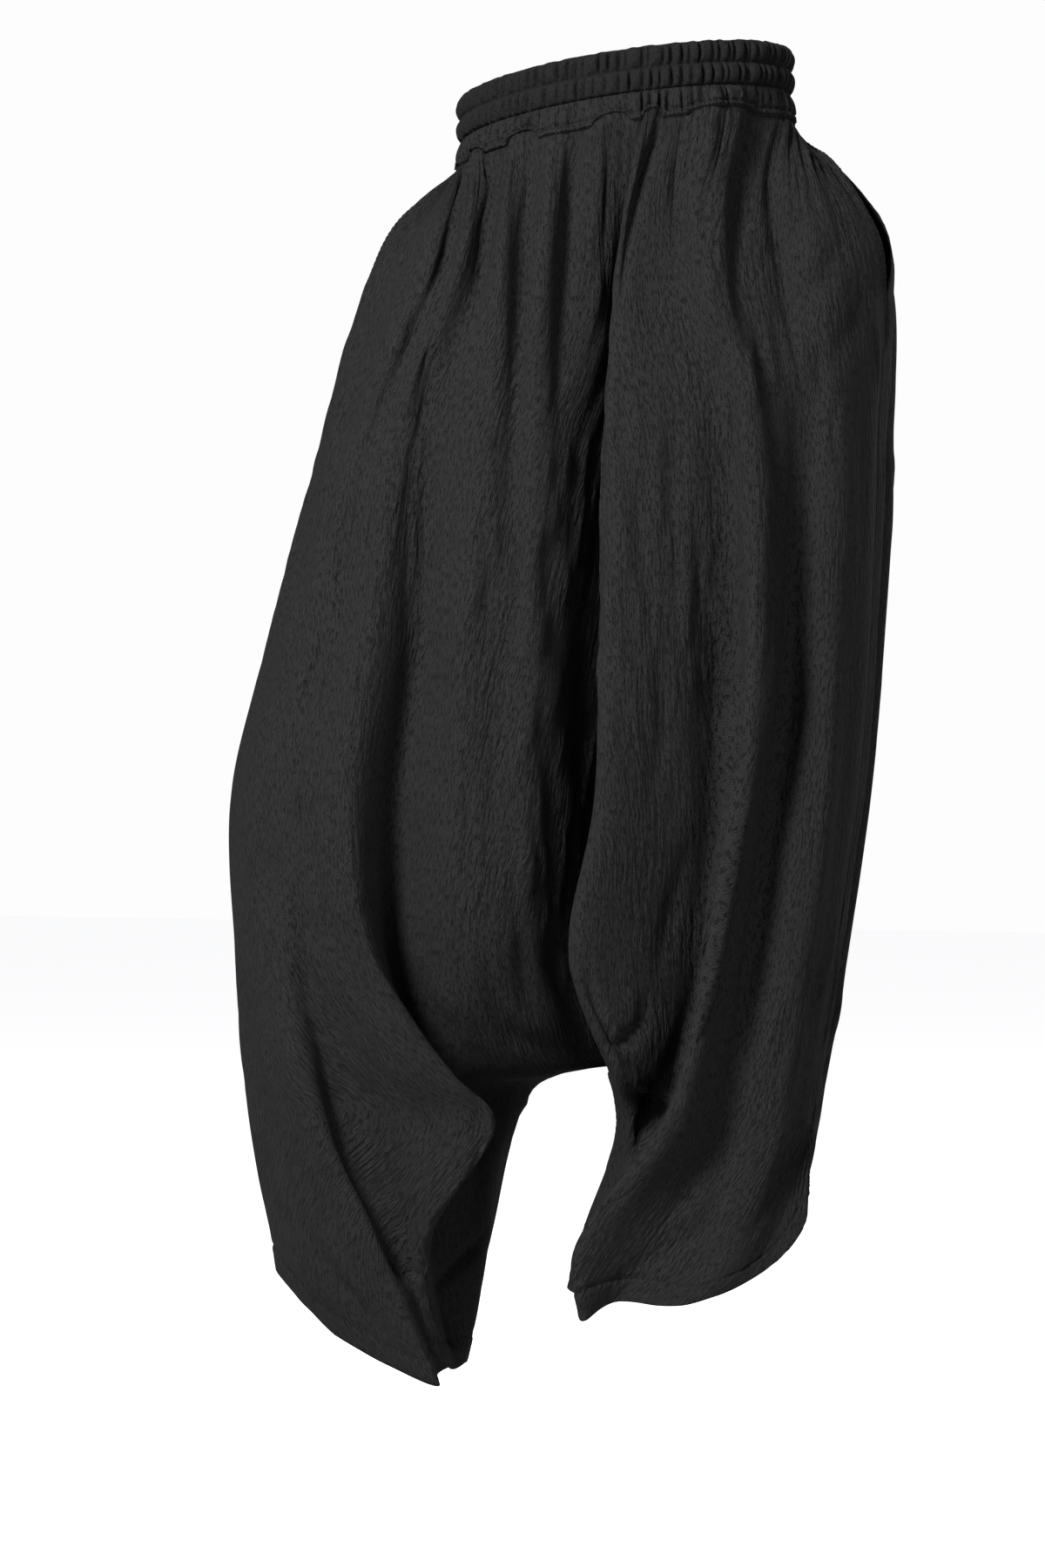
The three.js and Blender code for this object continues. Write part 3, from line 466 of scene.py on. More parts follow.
# %% Front creases
# Columns: width, depth, then the points (x, z) that it runs through. Below zero it is a ridge.
FRONT_CREASES = [
    # Down from the gathers of the yoke.
    (6.5, 6.5, (-130, -45), (-137, -120), (-150, -200), (-160, -290)),
    (6, 6.5, (-103, -42), (-108, -110), (-120, -210)),
    (5, -2.5, (-118, -42), (-124, -100), (-134, -190)),
    (5, -2.5, (-90, -40), (-93, -100), (-100, -190)),
    (5, -2.5, (-60, -38), (-60, -100), (-66, -190)),
    (6.5, 7, (-75, -40), (-76, -110), (-82, -200), (-88, -300)),
    (6, 6, (-43, -36), (-43, -100), (-50, -200), (-56, -290)),
    (5, 4.5, (-12, -36), (-14, -90), (-22, -170)),
    (5, 8, (34, -18), (24, -50), (12, -84), (0, -140), (-9, -200)),
    (6, 4, (32, -40), (38, -90), (40, -150)),
    (6, 8, (117, -46), (113, -80), (115, -120), (122, -170), (127, -240)),
    (8, -3, (60, -40), (68, -90), (78, -160)),
    (6, 3.5, (92, -50), (86, -120), (86, -210)),
    (8, 4, (142, -90), (126, -125), (98, -150)),
    (8, 4, (176, -110), (150, -160), (122, -190)),
    (8, 3, (190, -160), (165, -210), (140, -232)),
    (9, 4, (-180, -110), (-172, -170), (-150, -240)),
    (9, 3.5, (-205, -205), (-188, -260), (-160, -310)),
    # Short wrinkles over the left hip.
    (3.5, -3.5, (103, -186), (108, -215), (114, -246)),
    (3.5, -3.5, (119, -182), (123, -215), (130, -250)),
    (3.5, -3, (134, -190), (134, -215), (141, -242)),
    (3.5, -3, (95, -196), (93, -230), (98, -262)),
    (3.5, 3, (149, -200), (147, -230), (153, -264)),
    (3.5, -3, (60, -140), (64, -170), (60, -205)),
    (3.5, -3, (76, -230), (72, -262), (75, -296)),
    (3.5, 3, (160, -250), (158, -280), (163, -310)),
    # Down the hanging seat and the legs.
    (11, 6, (-152, -260), (-160, -360), (-168, -480), (-176, -560), (-176, -650)),
    (9, 5, (-86, -280), (-84, -380), (-90, -480)),
    (7, 4, (-54, -300), (-60, -380), (-57, -470)),
    (8, 4, (-30, -400), (-36, -500), (-33, -600)),
    (7, 3.5, (-72, -470), (-62, -540), (-62, -630)),
    (4, 3, (-112, -330), (-108, -390), (-112, -450)),
    (4, 3, (-128, -520), (-122, -580), (-126, -640)),
    (9, 5, (76, -850), (60, -885), (24, -906), (-10, -935)),
    (10, -5, (102, -300), (100, -410), (100, -480), (90, -549), (80, -618), (70, -687)),
    (9, 4, (40, -240), (34, -330), (36, -420)),
    (6, 3, (12, -300), (9, -360), (20, -430)),
    (6, 3, (24, -430), (26, -500), (16, -570)),
    (5, 3, (50, -320), (53, -400), (46, -470)),
    (4, 3, (88, -380), (84, -430), (88, -490)),
    (8, -3, (160, -420), (152, -560), (140, -700)),
    # Round the crotch.
    (9, 5, (-58, -620), (-54, -690), (-28, -745)),
    (8, 5, (-112, -680), (-96, -730), (-58, -768)),
    (8, 3, (-120, -738), (-70, -752), (-18, -752)),
    (9, -3, (-174, -640), (-150, -700), (-116, -738)),
    (7, 4, (-92, -600), (-82, -670), (-76, -730)),
    (7, 3, (-40, -560), (-47, -620), (-46, -690)),
    # The right leg, with the star of creases where its hem is caught.
    (9, -4, (-268, -640), (-262, -721), (-258, -756), (-249, -790), (-238, -825), (-205, -894)),
    (9, 3, (-292, -760), (-270, -830), (-226, -890)),
    (8, 4, (-262, -860), (-238, -920), (-194, -968)),
    (7, 3, (-242, -905), (-212, -955), (-172, -988)),
    (4, 8, (-166, -936), (-176, -918), (-190, -890)),
    (4, 7, (-166, -936), (-155, -915), (-140, -880)),
    (4, 5, (-160, -938), (-146, -958), (-139, -980), (-139, -1000)),
    (6, 2.5, (-160, -800), (-142, -830), (-130, -855)),
    (5, 7, (-102, -896), (-128, -922), (-158, -952)),
    (7, 4, (-116, -780), (-112, -830), (-120, -885)),
    (8, 3, (-196, -750), (-192, -810), (-174, -865)),
    (9, 3, (-206, -630), (-204, -680), (-188, -730)),
    # The left leg, beside the slanting fold.
    (8, 7, (78, -570), (70, -650), (44, -742), (20, -800), (-12, -858), (-46, -905)),
    (5, 6, (0, -783), (20, -796), (40, -806)),
    (6, 3, (4, -836), (18, -822), (36, -814)),
    (5, 5, (-20, -742), (4, -762), (30, -790)),
    (5, 8, (-33, -680), (-27, -715), (-9, -748), (8, -734), (16, -706)),
    (7, 4, (46, -590), (32, -650), (20, -700)),
    (8, 3, (74, -780), (50, -850), (10, -908)),
    (6, 3, (62, -900), (36, -930), (-2, -948)),
    (7, 3, (128, -820), (116, -860), (90, -902)),
]
# The deepest folds fall over to one side. Columns: width to the left, width to the right, depth,
# then the points.
LEANING_FOLDS = [
    (18, 8, 21, (72, -200), (75, -273), (75, -410), (75, -480), (80, -549), (76, -618),
     (66, -687), (54, -740)),
    (19, 9, 17, (138, -230), (142, -273), (133, -410), (132, -480), (122, -549), (112, -618),
     (101, -687), (90, -740), (78, -800), (74, -866)),
    (8, 27, 17, (-254, -640), (-246, -721), (-235, -756), (-225, -790), (-215, -825),
     (-182, -894), (-164, -940)),
]
print("front creases", len(FRONT_CREASES), "leaning folds", len(LEANING_FOLDS))

# %% Back creases
# The back isn't seen. Its creases are like those of the front.
BACK_CREASES = [
    (9, 5, (-160, -70), (-145, -150), (-112, -260)),
    (9, 5, (150, -60), (130, -140), (92, -250)),
    (8, 5, (-92, -50), (-84, -120), (-80, -230)),
    (8, 5, (62, -40), (56, -120), (58, -230)),
    (7, 4, (-40, -45), (-44, -120), (-36, -200)),
    (7, 4, (20, -40), (16, -120), (24, -190)),
    (10, 5, (-62, -280), (-70, -380), (-68, -500)),
    (10, 5, (52, -300), (56, -400), (60, -520)),
    (11, 5, (-180, -280), (-196, -400), (-202, -540)),
    (10, 4, (130, -280), (138, -380), (140, -480)),
    (9, 6, (-40, -540), (-36, -640), (-18, -745)),
    (9, 6, (-112, -580), (-84, -680), (-38, -765)),
    (9, 6, (62, -540), (40, -640), (8, -745)),
    (9, 5, (122, -580), (96, -690), (56, -785)),
    (10, 4, (-232, -540), (-220, -650), (-188, -770)),
    (9, 4, (-204, -760), (-182, -850), (-148, -935)),
    (9, -3, (-262, -730), (-250, -820), (-228, -905)),
    (8, 4, (102, -750), (78, -830), (38, -905)),
    (8, 3, (-120, -820), (-124, -880), (-140, -940)),
]
print("back creases", len(BACK_CREASES))


# %% Crease relief
def polyline(points, count=9):
    """A smooth run through a crease's points, as (x, 0, z)."""
    points = np.array([(x, 0, z) for x, z in points], float)
    padded = np.vstack([2 * points[0] - points[1], points, 2 * points[-1] - points[-2]])
    share = np.linspace(0, 1, count, endpoint=False)
    spans = [between(*(np.repeat(padded[i + k][None], count, axis=0) for k in range(4)), share)
             for i in range(len(points) - 1)]
    return np.vstack(spans + [points[-1:]])


def crease_relief(grid, facing, creases):
    """Each crease is a soft trough along its line, and fades at both ends."""
    relief = np.zeros(grid.shape[:2])
    for left_width, right_width, depth, *points in creases:
        line = polyline(points)
        reach = 3 * max(left_width, right_width)
        low, high = line.min(axis=0) - reach, line.max(axis=0) + reach
        near = ((grid[..., 0] > low[0]) & (grid[..., 0] < high[0])
                & (grid[..., 2] > low[2]) & (grid[..., 2] < high[2]))
        here = grid[near][:, None] * [1, 0, 1]
        a, run = line[:-1][None], np.diff(line, axis=0)[None]
        share = np.clip(((here - a) * run).sum(axis=2) / (run ** 2).sum(axis=2), 0, 1)
        offset = here - a - run * share[..., None]
        apart = np.linalg.norm(offset, axis=2)
        best = apart.argmin(axis=1)
        pick = np.arange(len(best))
        width = np.where(offset[pick, best, 0] < 0, left_width, right_width)
        place = (best + share[pick, best]) / run.shape[1]
        taper = np.sin(np.pi * place) ** 0.8
        relief[near] -= depth * taper * np.exp(-(apart[pick, best] / width) ** 2)
    return relief * facing


even_front = [(width, width, depth, *points) for width, depth, *points in FRONT_CREASES]
even_back = [(width, width, depth, *points) for width, depth, *points in BACK_CREASES]
for half, other in ((right, left), (left, right)):
    half["normals"] = grid_normals(half["grid"], other["grid"], half["turn"])
for half in (right, left):
    front = smoothstep(-half["normals"][..., 1], 0.05, 0.45)
    back = smoothstep(half["normals"][..., 1], 0.05, 0.45)
    half["relief"] += crease_relief(half["grid"], front, even_front + LEANING_FOLDS)
    half["relief"] += crease_relief(half["grid"], back, even_back)
    half["relief"][0] = 0
    half["relief"] *= smoothstep(np.arange(len(row_levels)), -1, 3)[:, None]
    half["cloth"] = half["grid"] + half["normals"] * half["relief"][..., None]
    print("relief, mm", round(half["relief"].min(), 1), "to", round(half["relief"].max(), 1))
for half, other in ((right, left), (left, right)):
    half["normals"] = grid_normals(half["cloth"], other["cloth"], half["turn"])

# %% [markdown]
# ## Making a wall of cloth
# A panel is a closed wall: an outer face, an inner face and four thin edges, so light and
# shadow fall right at the hems and pocket mouths. Solidify could add the thickness, but a wall
# made by hand keeps the hem thicker than the rest.

# %% Mesh helpers
TO_FRAME = (Matrix.Translation((0, 0, BAND_BELOW_DATUM * MM)) @ Matrix.Rotation(HIP_TURN, 4, "Z")
            @ Matrix.Scale(MM, 4))


def add_mesh(name, points, faces, uv=None, smooth=True):
    mesh = bpy.data.meshes.new(name)
    mesh.from_pydata(np.asarray(points).reshape(-1, 3).tolist(), [], faces)
    mesh.transform(TO_FRAME)
    if uv is not None:
        layer = mesh.uv_layers.new(name="cloth")
        index = np.empty(len(mesh.loops), int)
        mesh.loops.foreach_get("vertex_index", index)
        layer.data.foreach_set("uv", (np.asarray(uv).reshape(-1, 2)[index] * MM).ravel())
    mesh.polygons.foreach_set("use_smooth", [smooth] * len(mesh.polygons))
    mesh.update()
    piece = bpy.data.objects.new(name, mesh)
    bpy.context.scene.collection.objects.link(piece)
    return piece


def turned_out(points, faces):
    """The faces, turned so that the closed mesh has its volume inside."""
    points = np.asarray(points).reshape(-1, 3)
    volume = 0.0
    for face in faces:
        a = points[face[0]]
        for k in range(1, len(face) - 1):
            volume += float(np.dot(a, np.cross(points[face[k]], points[face[k + 1]])))
    return faces if volume > 0 else [face[::-1] for face in faces]


def wall_faces(down, wide):
    index = np.arange(2 * down * wide).reshape(2, down, wide)
    outer, inner = index

    def quads(a, b, c, d):
        return np.stack([a.ravel(), b.ravel(), c.ravel(), d.ravel()], axis=1)

    parts = [
        quads(outer[:-1, :-1], outer[1:, :-1], outer[1:, 1:], outer[:-1, 1:]),
        quads(inner[:-1, :-1], inner[:-1, 1:], inner[1:, 1:], inner[1:, :-1]),
        quads(outer[:-1, 0], inner[:-1, 0], inner[1:, 0], outer[1:, 0]),
        quads(outer[:-1, -1], outer[1:, -1], inner[1:, -1], inner[:-1, -1]),
        quads(outer[0, :-1], outer[0, 1:], inner[0, 1:], inner[0, :-1]),
        quads(outer[-1, :-1], inner[-1, :-1], inner[-1, 1:], outer[-1, 1:]),
    ]
    return np.concatenate(parts).tolist()


def add_wall(name, outer, inner, uv):
    down, wide = outer.shape[:2]
    faces = wall_faces(down, wide)
    middle = (down // 2, wide // 2)
    out = outer[middle] - inner[middle]
    face_out = np.cross(outer[middle[0] + 1, middle[1]] - outer[middle],
                        outer[middle[0], middle[1] + 1] - outer[middle])
    if np.dot(out, face_out) < 0:
        faces = [face[::-1] for face in faces]
    return add_mesh(name, np.stack([outer, inner]), faces, np.stack([uv, uv]))


# %% [markdown]
# ## The four panels
# Each panel is a run of columns of one half. Its seam edges are drawn in by half of the seam's
# gap, and at the pocket's mouth its side edge is drawn back and stands open.

# %% Panels
HEM_CLOTH = 2.6
HEM_EDGE = 0.7
HEM_GROOVE = 1.8


def unit(vectors):
    return vectors / np.maximum(np.linalg.norm(vectors, axis=-1, keepdims=True), 1e-9)


def panel_surface(half, first, last):
    """The middle of a panel's cloth, with its seam gaps and its open pocket edge."""
    middle = half["cloth"][:, first:last + 1].copy()
    middle[:, 0] += unit(middle[:, 1] - middle[:, 0]) * SEAM_GAP / 2
    middle[:, -1] += unit(middle[:, -2] - middle[:, -1]) * SEAM_GAP / 2
    edge, beside = (0, 1) if first == half["side"] else (-1, -2)
    seam = middle[:, edge][:, None].copy()
    plain_cloth = half["grid"][:, first:last + 1]
    away = unit(plain_cloth[:, beside * 3] - plain_cloth[:, edge])
    drawn = half["mouth"]["open"] / 2 * mouth_share(half["mouth"], row_levels)
    near = 1 - np.minimum(np.linalg.norm(middle - seam, axis=2) / half["mouth"]["reach"], 1)
    middle += away[:, None] * (drawn[:, None] * near)[..., None]
    return middle


def panel_uv(half, first, last):
    return np.stack([half["u"][:, first:last + 1], half["v"][:, first:last + 1]], axis=-1)


def add_panel(name, half, first, last):
    middle = panel_surface(half, first, last)
    normals = half["normals"][:, first:last + 1]
    from_hem = half["from_hem"][:, first:last + 1]
    hem = 1 - smoothstep(from_hem, HEM_DEPTH - 1.5, HEM_DEPTH + 0.5)
    thick = (CLOTH + (HEM_CLOTH - CLOTH) * hem)[..., None] / 2
    thick[-1] *= HEM_EDGE
    pull = -HEM_GROOVE * np.exp(-((from_hem - HEM_DEPTH + 2) / 2.2) ** 2)
    u = half["u"][:, first:last + 1]
    pucker = 0.7 * np.exp(-((from_hem - HEM_DEPTH) / 12) ** 2)
    pull += pucker * lattice_noise(u, from_hem, 7, 60, 71)
    middle = middle + normals * pull[..., None]
    middle[0, :, 2] -= SEAM_GAP / 2
    piece = add_wall(name, middle + normals * thick, middle - normals * thick,
                     panel_uv(half, first, last))
    print(name, len(piece.data.polygons), "faces")
    return piece, middle + normals * thick, normals


panels = {}
for side, half in (("right", right), ("left", left)):
    end = len(half["spans"]) - 1
    panels[f"front_{side}"] = add_panel(f"front_{side}_cloth", half, 0, half["side"])
    panels[f"back_{side}"] = add_panel(f"back_{side}_cloth", half, half["side"], end)

# %% [markdown]
# ## The yokes
# Between the band and the panels runs a short strip, gathered onto both. Its gathers are close
# tubes, and it steps up where the pleats of the panels fold over. The seam allowance is pressed
# up and stitched down twice, so a narrow strip stands proud along the lower edge.

# %% Yokes
YOKE_ROWS = 24
SEAM_STRIP = 5.5


def ring_columns(over):
    right_part = [(right, c) for c in range(len(right["spans"]))]
    left_part = [(left, c) for c in range(len(left["spans"]))]
    if over == "front":
        return right_part[:right["side"] + 1][::-1] + left_part[1:left["side"] + 1]
    return right_part[right["side"]:] + left_part[left["side"]:][::-1][1:]


def add_yoke(name, columns, seed):
    angle = np.array([half["angle"][c] for half, c in columns])
    bottom = np.array([half["cloth"][0, c] for half, c in columns])
    bottom[:, 2] += SEAM_GAP / 2
    normal = np.array([half["normals"][0, c] for half, c in columns])
    top = waist_point(angle, 0, -BAND_HEIGHT / 2 - SEAM_GAP)
    share = np.linspace(0, 1, YOKE_ROWS)[:, None]
    grid = top[None] + (bottom - top)[None] * share[..., None]
    u = np.concatenate([[0], np.cumsum(np.linalg.norm(np.diff(bottom, axis=0), axis=1))])
    wide, tall = u[None] + 0 * share, YOKE_DEPTH * (share + 0 * u[None])
    swell = np.sin(np.pi * share[:, 0]) ** 0.6
    gather = 1.6 * lattice_noise(wide, tall, 12, 80, seed) - 1.3 * gather_dips(
        angle, YOKE_GATHERS_SEED)[None]
    strip = smoothstep(tall, YOKE_DEPTH - SEAM_STRIP - 0.8, YOKE_DEPTH - SEAM_STRIP + 0.8)
    rounding = 0.45 + 0.55 * smoothstep(1 - share, 0, 0.06)
    relief = swell[:, None] * (4.4 + gather) * (1 - strip) + (3.6 + 0.4 * gather) * strip * rounding
    relief -= 1.8 * np.exp(-((tall - YOKE_DEPTH + SEAM_STRIP) / 1.1) ** 2)
    grid = grid + normal[None] * relief[..., None]
    for edge, beside in ((0, 1), (-1, -2)):
        grid[:, edge] += unit(grid[:, beside] - grid[:, edge]) * SEAM_GAP / 2
    shift = normal[None] * CLOTH / 2
    piece = add_wall(name, grid + shift, grid - shift, np.stack([wide, tall], axis=-1))
    print(name, len(piece.data.polygons), "faces")
    return piece, grid + shift, np.broadcast_to(normal, grid.shape)


yokes = {
    "yoke_front": add_yoke("yoke_front_cloth", ring_columns("front"), 81),
    "yoke_back": add_yoke("yoke_back_cloth", ring_columns("back"), 83),
}

# %% [markdown]
# ## The waistband
# The band is a strip folded over two rows of elastic. The elastic draws the cloth into narrow
# valleys, which don't line up between the two channels because each is gathered on its own.

# %% Waistband
BAND_PINCH = 2.4
BAND_PUFF = 4.2
BAND_COLUMNS = 1200
BAND_FACE_ROWS = 33


def band_grid():
    angle = np.arange(BAND_COLUMNS) / BAND_COLUMNS * 2 * np.pi
    height = np.linspace(1, 0, BAND_FACE_ROWS)[:, None]
    puff = np.abs(np.sin(2 * np.pi * height)) ** 0.55
    upper, lower = gather_dips(angle, 91), gather_dips(angle, 92)
    share = smoothstep(height, 0.42, 0.58)
    dip = upper[None] * share + lower[None] * (1 - share)
    out = BAND_PINCH / 2 + puff * np.maximum(BAND_PUFF + 1.4 - dip, 0.2) + 0.15 * lattice_noise(
        angle[None] * WAIST_ACROSS, height * BAND_HEIGHT, 3, 9, 93)
    ruffle = 0.5 * lattice_noise(angle * WAIST_ACROSS, 0, 5, 1, 94)
    tall = (height - 0.5) * BAND_HEIGHT + ruffle[None] * smoothstep(height, 0.8, 1)
    outer = waist_point(angle[None] + 0 * height, out, tall)
    inner_height = np.linspace(0, 1, 5)[:, None]
    inner = waist_point(angle[None] + 0 * inner_height, -BAND_PINCH / 2 + 0 * inner_height,
                        (inner_height - 0.5) * BAND_HEIGHT)
    return angle, outer, inner


def add_band(name):
    angle, outer, inner = band_grid()
    section = np.concatenate([outer, inner])
    count, around = section.shape[:2]
    index = np.arange(count * around).reshape(count, around)
    below, beside = np.roll(index, -1, axis=0), np.roll(index, -1, axis=1)
    across = np.roll(below, -1, axis=1)
    faces = np.stack([index, below, across, beside], axis=-1).reshape(-1, 4).tolist()
    uv = np.stack([angle[None] * WAIST_ACROSS + np.zeros((count, 1)),
                   np.linspace(0, 2 * BAND_HEIGHT, count)[:, None] + 0 * angle[None]], axis=-1)
    piece = add_mesh(name, section, turned_out(section, faces), uv)
    print(name, len(piece.data.polygons), "faces")
    return piece, outer


band, band_face = add_band("waistband_cloth")

# %% [markdown]
# ## The pocket bags
# Only the mouths show, and they stand open. Behind each hangs a flat pouch of thinner cloth. It
# is lofted through a few sections, from the mouth in and forward, so its walls follow the mouth's
# edge. A bag sewn from two flat faces would stand away from it.

# %% Pocket bags
BAG_CLOTH = 1.2
BAG_POINTS = 48
# Columns: inward, forward, down, half height, half thickness.
BAG_SECTIONS = [
    (14, 12, 6, 62, 14), (32, 40, 22, 78, 13), (50, 66, 38, 86, 11), (66, 86, 50, 78, 8),
    (76, 98, 58, 58, 4),
]


def mouth_frame(half, level):
    """The cloth at the side seam at one level: its middle, both ways along it, and inward."""
    row = np.interp(level, row_levels, np.arange(len(row_levels)))
    low = int(min(row, len(row_levels) - 2))
    share = row - low

    def mix(grid, column):
        return grid[low, column] * (1 - share) + grid[low + 1, column] * share

    point = mix(half["grid"], half["side"])
    ahead = unit(mix(half["grid"], half["side"] - 3) - point)
    behind = unit(mix(half["grid"], half["side"] + 3) - point)
    return point, ahead, behind, -unit(mix(half["normals"], half["side"]))


def bag_loops(half, slim):
    mouth = half["mouth"]
    high, low = (mouth_frame(half, mouth[end])[0] for end in ("top", "bottom"))
    point, ahead, behind, inward = mouth_frame(half, (mouth["top"] + mouth["bottom"]) / 2)
    long, centre = low - high, (low + high) / 2
    tall = np.linalg.norm(long) / 2
    long = unit(long)
    forward = unit(ahead - long * np.dot(ahead, long))
    inward = unit(inward - long * np.dot(inward, long))
    turn = np.arange(BAG_POINTS) / BAG_POINTS * 2 * np.pi
    up, aside = np.cos(turn), np.sin(turn)
    first = []
    for k in range(BAG_POINTS):
        share = 0.5 - up[k] * (0.5 - slim / (2 * tall))
        level = mouth["top"] + share * (mouth["bottom"] - mouth["top"])
        at, front_way, back_way, deep = mouth_frame(half, level)
        width = max(mouth["open"] / 2 * float(mouth_share(mouth, level)) - slim, 0)
        way = front_way if aside[k] > 0 else back_way
        behind_panel = CLOTH / 2 + SEAM_GAP + BAG_CLOTH / 2 + 0.5 + 2 * slim
        first.append(at + way * width * min(abs(aside[k]) * 4, 1) + deep * behind_panel)
    loops, before = [np.array(first)], centre
    for deep, ahead_by, down, half_tall, half_thick in BAG_SECTIONS:
        middle = centre + inward * deep + forward * ahead_by * mouth["bag_forward"] + long * down
        thick = unit(np.cross(middle - before, long))
        thick = thick if np.dot(thick, forward) > 0 else -thick
        loops.append(middle + np.outer(-up * (half_tall - slim), long)
                     + np.outer(aside * (half_thick - slim), thick))
        before = middle
    return loops, before


def add_bag(name, half):
    outside, end = bag_loops(half, 0)
    inside, _ = bag_loops(half, BAG_CLOTH)
    onward = unit(end - outside[-2].mean(axis=0))
    rings = inside[::-1] + outside
    points = np.vstack([end + onward * BAG_CLOTH, *rings, end + onward * 2 * BAG_CLOTH])
    count = len(rings) * BAG_POINTS
    faces = []
    for k in range(BAG_POINTS):
        m = (k + 1) % BAG_POINTS
        faces.append([0, 1 + m, 1 + k])
        tail = 1 + count - BAG_POINTS
        faces.append([count + 1, tail + k, tail + m])
        for n in range(len(rings) - 1):
            a, b = 1 + n * BAG_POINTS, 1 + (n + 1) * BAG_POINTS
            faces.append([a + k, a + m, b + m, b + k])
    piece = add_mesh(name, points, turned_out(points, faces), points[:, [1, 2]])
    print(name, len(faces), "faces")
    return piece, np.array(outside)


bags = {"pocket_bag_right": add_bag("pocket_bag_right_cloth", right),
        "pocket_bag_left": add_bag("pocket_bag_left_cloth", left)}

# %% [markdown]
# ## Stitching
# Every stitch is a short rounded length of thread that dips into the cloth at both ends. They
# are real geometry because they catch light one by one. One mesh holds a whole row of them.

# %% Stitch helpers
THREAD = 0.26
STITCH = 3.4
STITCH_GAP = 1.1
# Columns: place along the half stitch, lift and thickness as shares of the thread.
STITCH_RINGS = [
    (-1, -0.25, 0.35), (-0.72, 0.1, 0.9), (0, 0.3, 1), (0.72, 0.1, 0.9), (1, -0.25, 0.35),
]


def along(path, spacing):
    """Places at even spacing along a run of points, as (index, share)."""
    steps = np.linalg.norm(np.diff(path, axis=0), axis=1)
    total = np.concatenate([[0], np.cumsum(steps)])
    places = np.arange(spacing / 2, total[-1] - spacing / 2, spacing)
    index = np.clip(np.searchsorted(total, places) - 1, 0, len(steps) - 1)
    return index, (places - total[index]) / steps[index]


def row_of_stitches(path, normals, stitch=STITCH, gap=STITCH_GAP):
    """Points and faces of the stitches along a path that lies on the cloth."""
    index, share = along(path, stitch + gap)
    share = share[:, None]
    centre = path[index] * (1 - share) + path[index + 1] * share
    normal = unit(normals[index] * (1 - share) + normals[index + 1] * share)
    ahead = unit(path[index + 1] - path[index])
    aside = unit(np.cross(normal, ahead))
    rings = []
    for place, lift, thin in STITCH_RINGS:
        for k in range(6):
            turn = k * np.pi / 3
            rings.append(centre + ahead * place * stitch / 2
                         + normal * (THREAD * lift + THREAD * thin * math.sin(turn))
                         + aside * THREAD * 1.25 * thin * math.cos(turn))
    points = np.stack(rings, axis=1).reshape(-1, 3)
    faces = []
    for s in range(len(centre)):
        start = s * 30
        for ring in range(4):
            for k in range(6):
                a, b = start + ring * 6, start + ring * 6 + 6
                m = (k + 1) % 6
                faces.append([a + k, a + m, b + m, b + k])
        faces.append([start + k for k in range(5, -1, -1)])
        faces.append([start + 24 + k for k in range(6)])
    return points, faces


def add_stitches(name, rows):
    points, faces, offset = [], [], 0
    for path, normals in rows:
        row_points, row_faces = row_of_stitches(np.asarray(path), np.asarray(normals))
        points.append(row_points)
        faces += [[i + offset for i in face] for face in row_faces]
        offset += len(row_points)
    piece = add_mesh(name, np.vstack(points), faces)
    print(name, offset // 30, "stitches")
    return piece


# %% [markdown]
# ## Where the stitching runs
# One row holds each hem, two rows run along the yoke seam, one row closes each edge of the
# elastic channels, and two rows with a bar at the top hold each pocket's edge.

# %% Rows of stitches
def hem_row(surface, normals, from_hem, height):
    """The line on a panel's face at one distance from the hem."""
    path, out = [], []
    for c in range(surface.shape[1]):
        row = int(np.argmax(from_hem[:, c] < height))
        share = (from_hem[row - 1, c] - height) / max(from_hem[row - 1, c] - from_hem[row, c], 1e-6)
        path.append(surface[row - 1, c] * (1 - share) + surface[row, c] * share)
        out.append(normals[row, c])
    return path, out


stitching = {}
for side, half in (("right", right), ("left", left)):
    rows = []
    for part, first, last in (("front", 0, half["side"]), ("back", half["side"], None)):
        piece, face, normals = panels[f"{part}_{side}"]
        from_hem = half["from_hem"][:, first:None if last is None else last + 1]
        rows.append(hem_row(face, normals, from_hem, HEM_DEPTH - 2))
    stitching[f"hem_stitches_{side}"] = add_stitches(f"hem_stitches_{side}", rows)

yoke_rows = []
for piece, face, normals in yokes.values():
    for row in (-5, -2):
        yoke_rows.append((face[row], normals[row]))
stitching["yoke_stitches"] = add_stitches("yoke_stitches", yoke_rows)

band_rows = []
band_out = unit(waist_point(np.arange(BAND_COLUMNS + 1) / BAND_COLUMNS * 2 * np.pi, 10, 0)
                - waist_point(np.arange(BAND_COLUMNS + 1) / BAND_COLUMNS * 2 * np.pi, 0, 0))
for row in (BAND_FACE_ROWS // 2, BAND_FACE_ROWS - 2):
    path = np.vstack([band_face[row], band_face[row][:1]])
    band_rows.append((path, band_out))
stitching["band_stitches"] = add_stitches("band_stitches", band_rows)

pocket_rows = []
for side, half in (("right", right), ("left", left)):
    piece, face, normals = panels[f"front_{side}"]
    mouth_rows = np.where((row_levels > half["mouth"]["top"] - 0.06)
                          & (row_levels < half["mouth"]["bottom"] + 0.03))[0]
    for column in (-2, -4):
        pocket_rows.append((face[mouth_rows, column], normals[mouth_rows, column]))
    for end in (mouth_rows[0], mouth_rows[0] + 1, mouth_rows[-1]):
        pocket_rows.append((face[end, -6:], normals[end, -6:]))
stitching["pocket_stitches"] = add_stitches("pocket_stitches", pocket_rows)

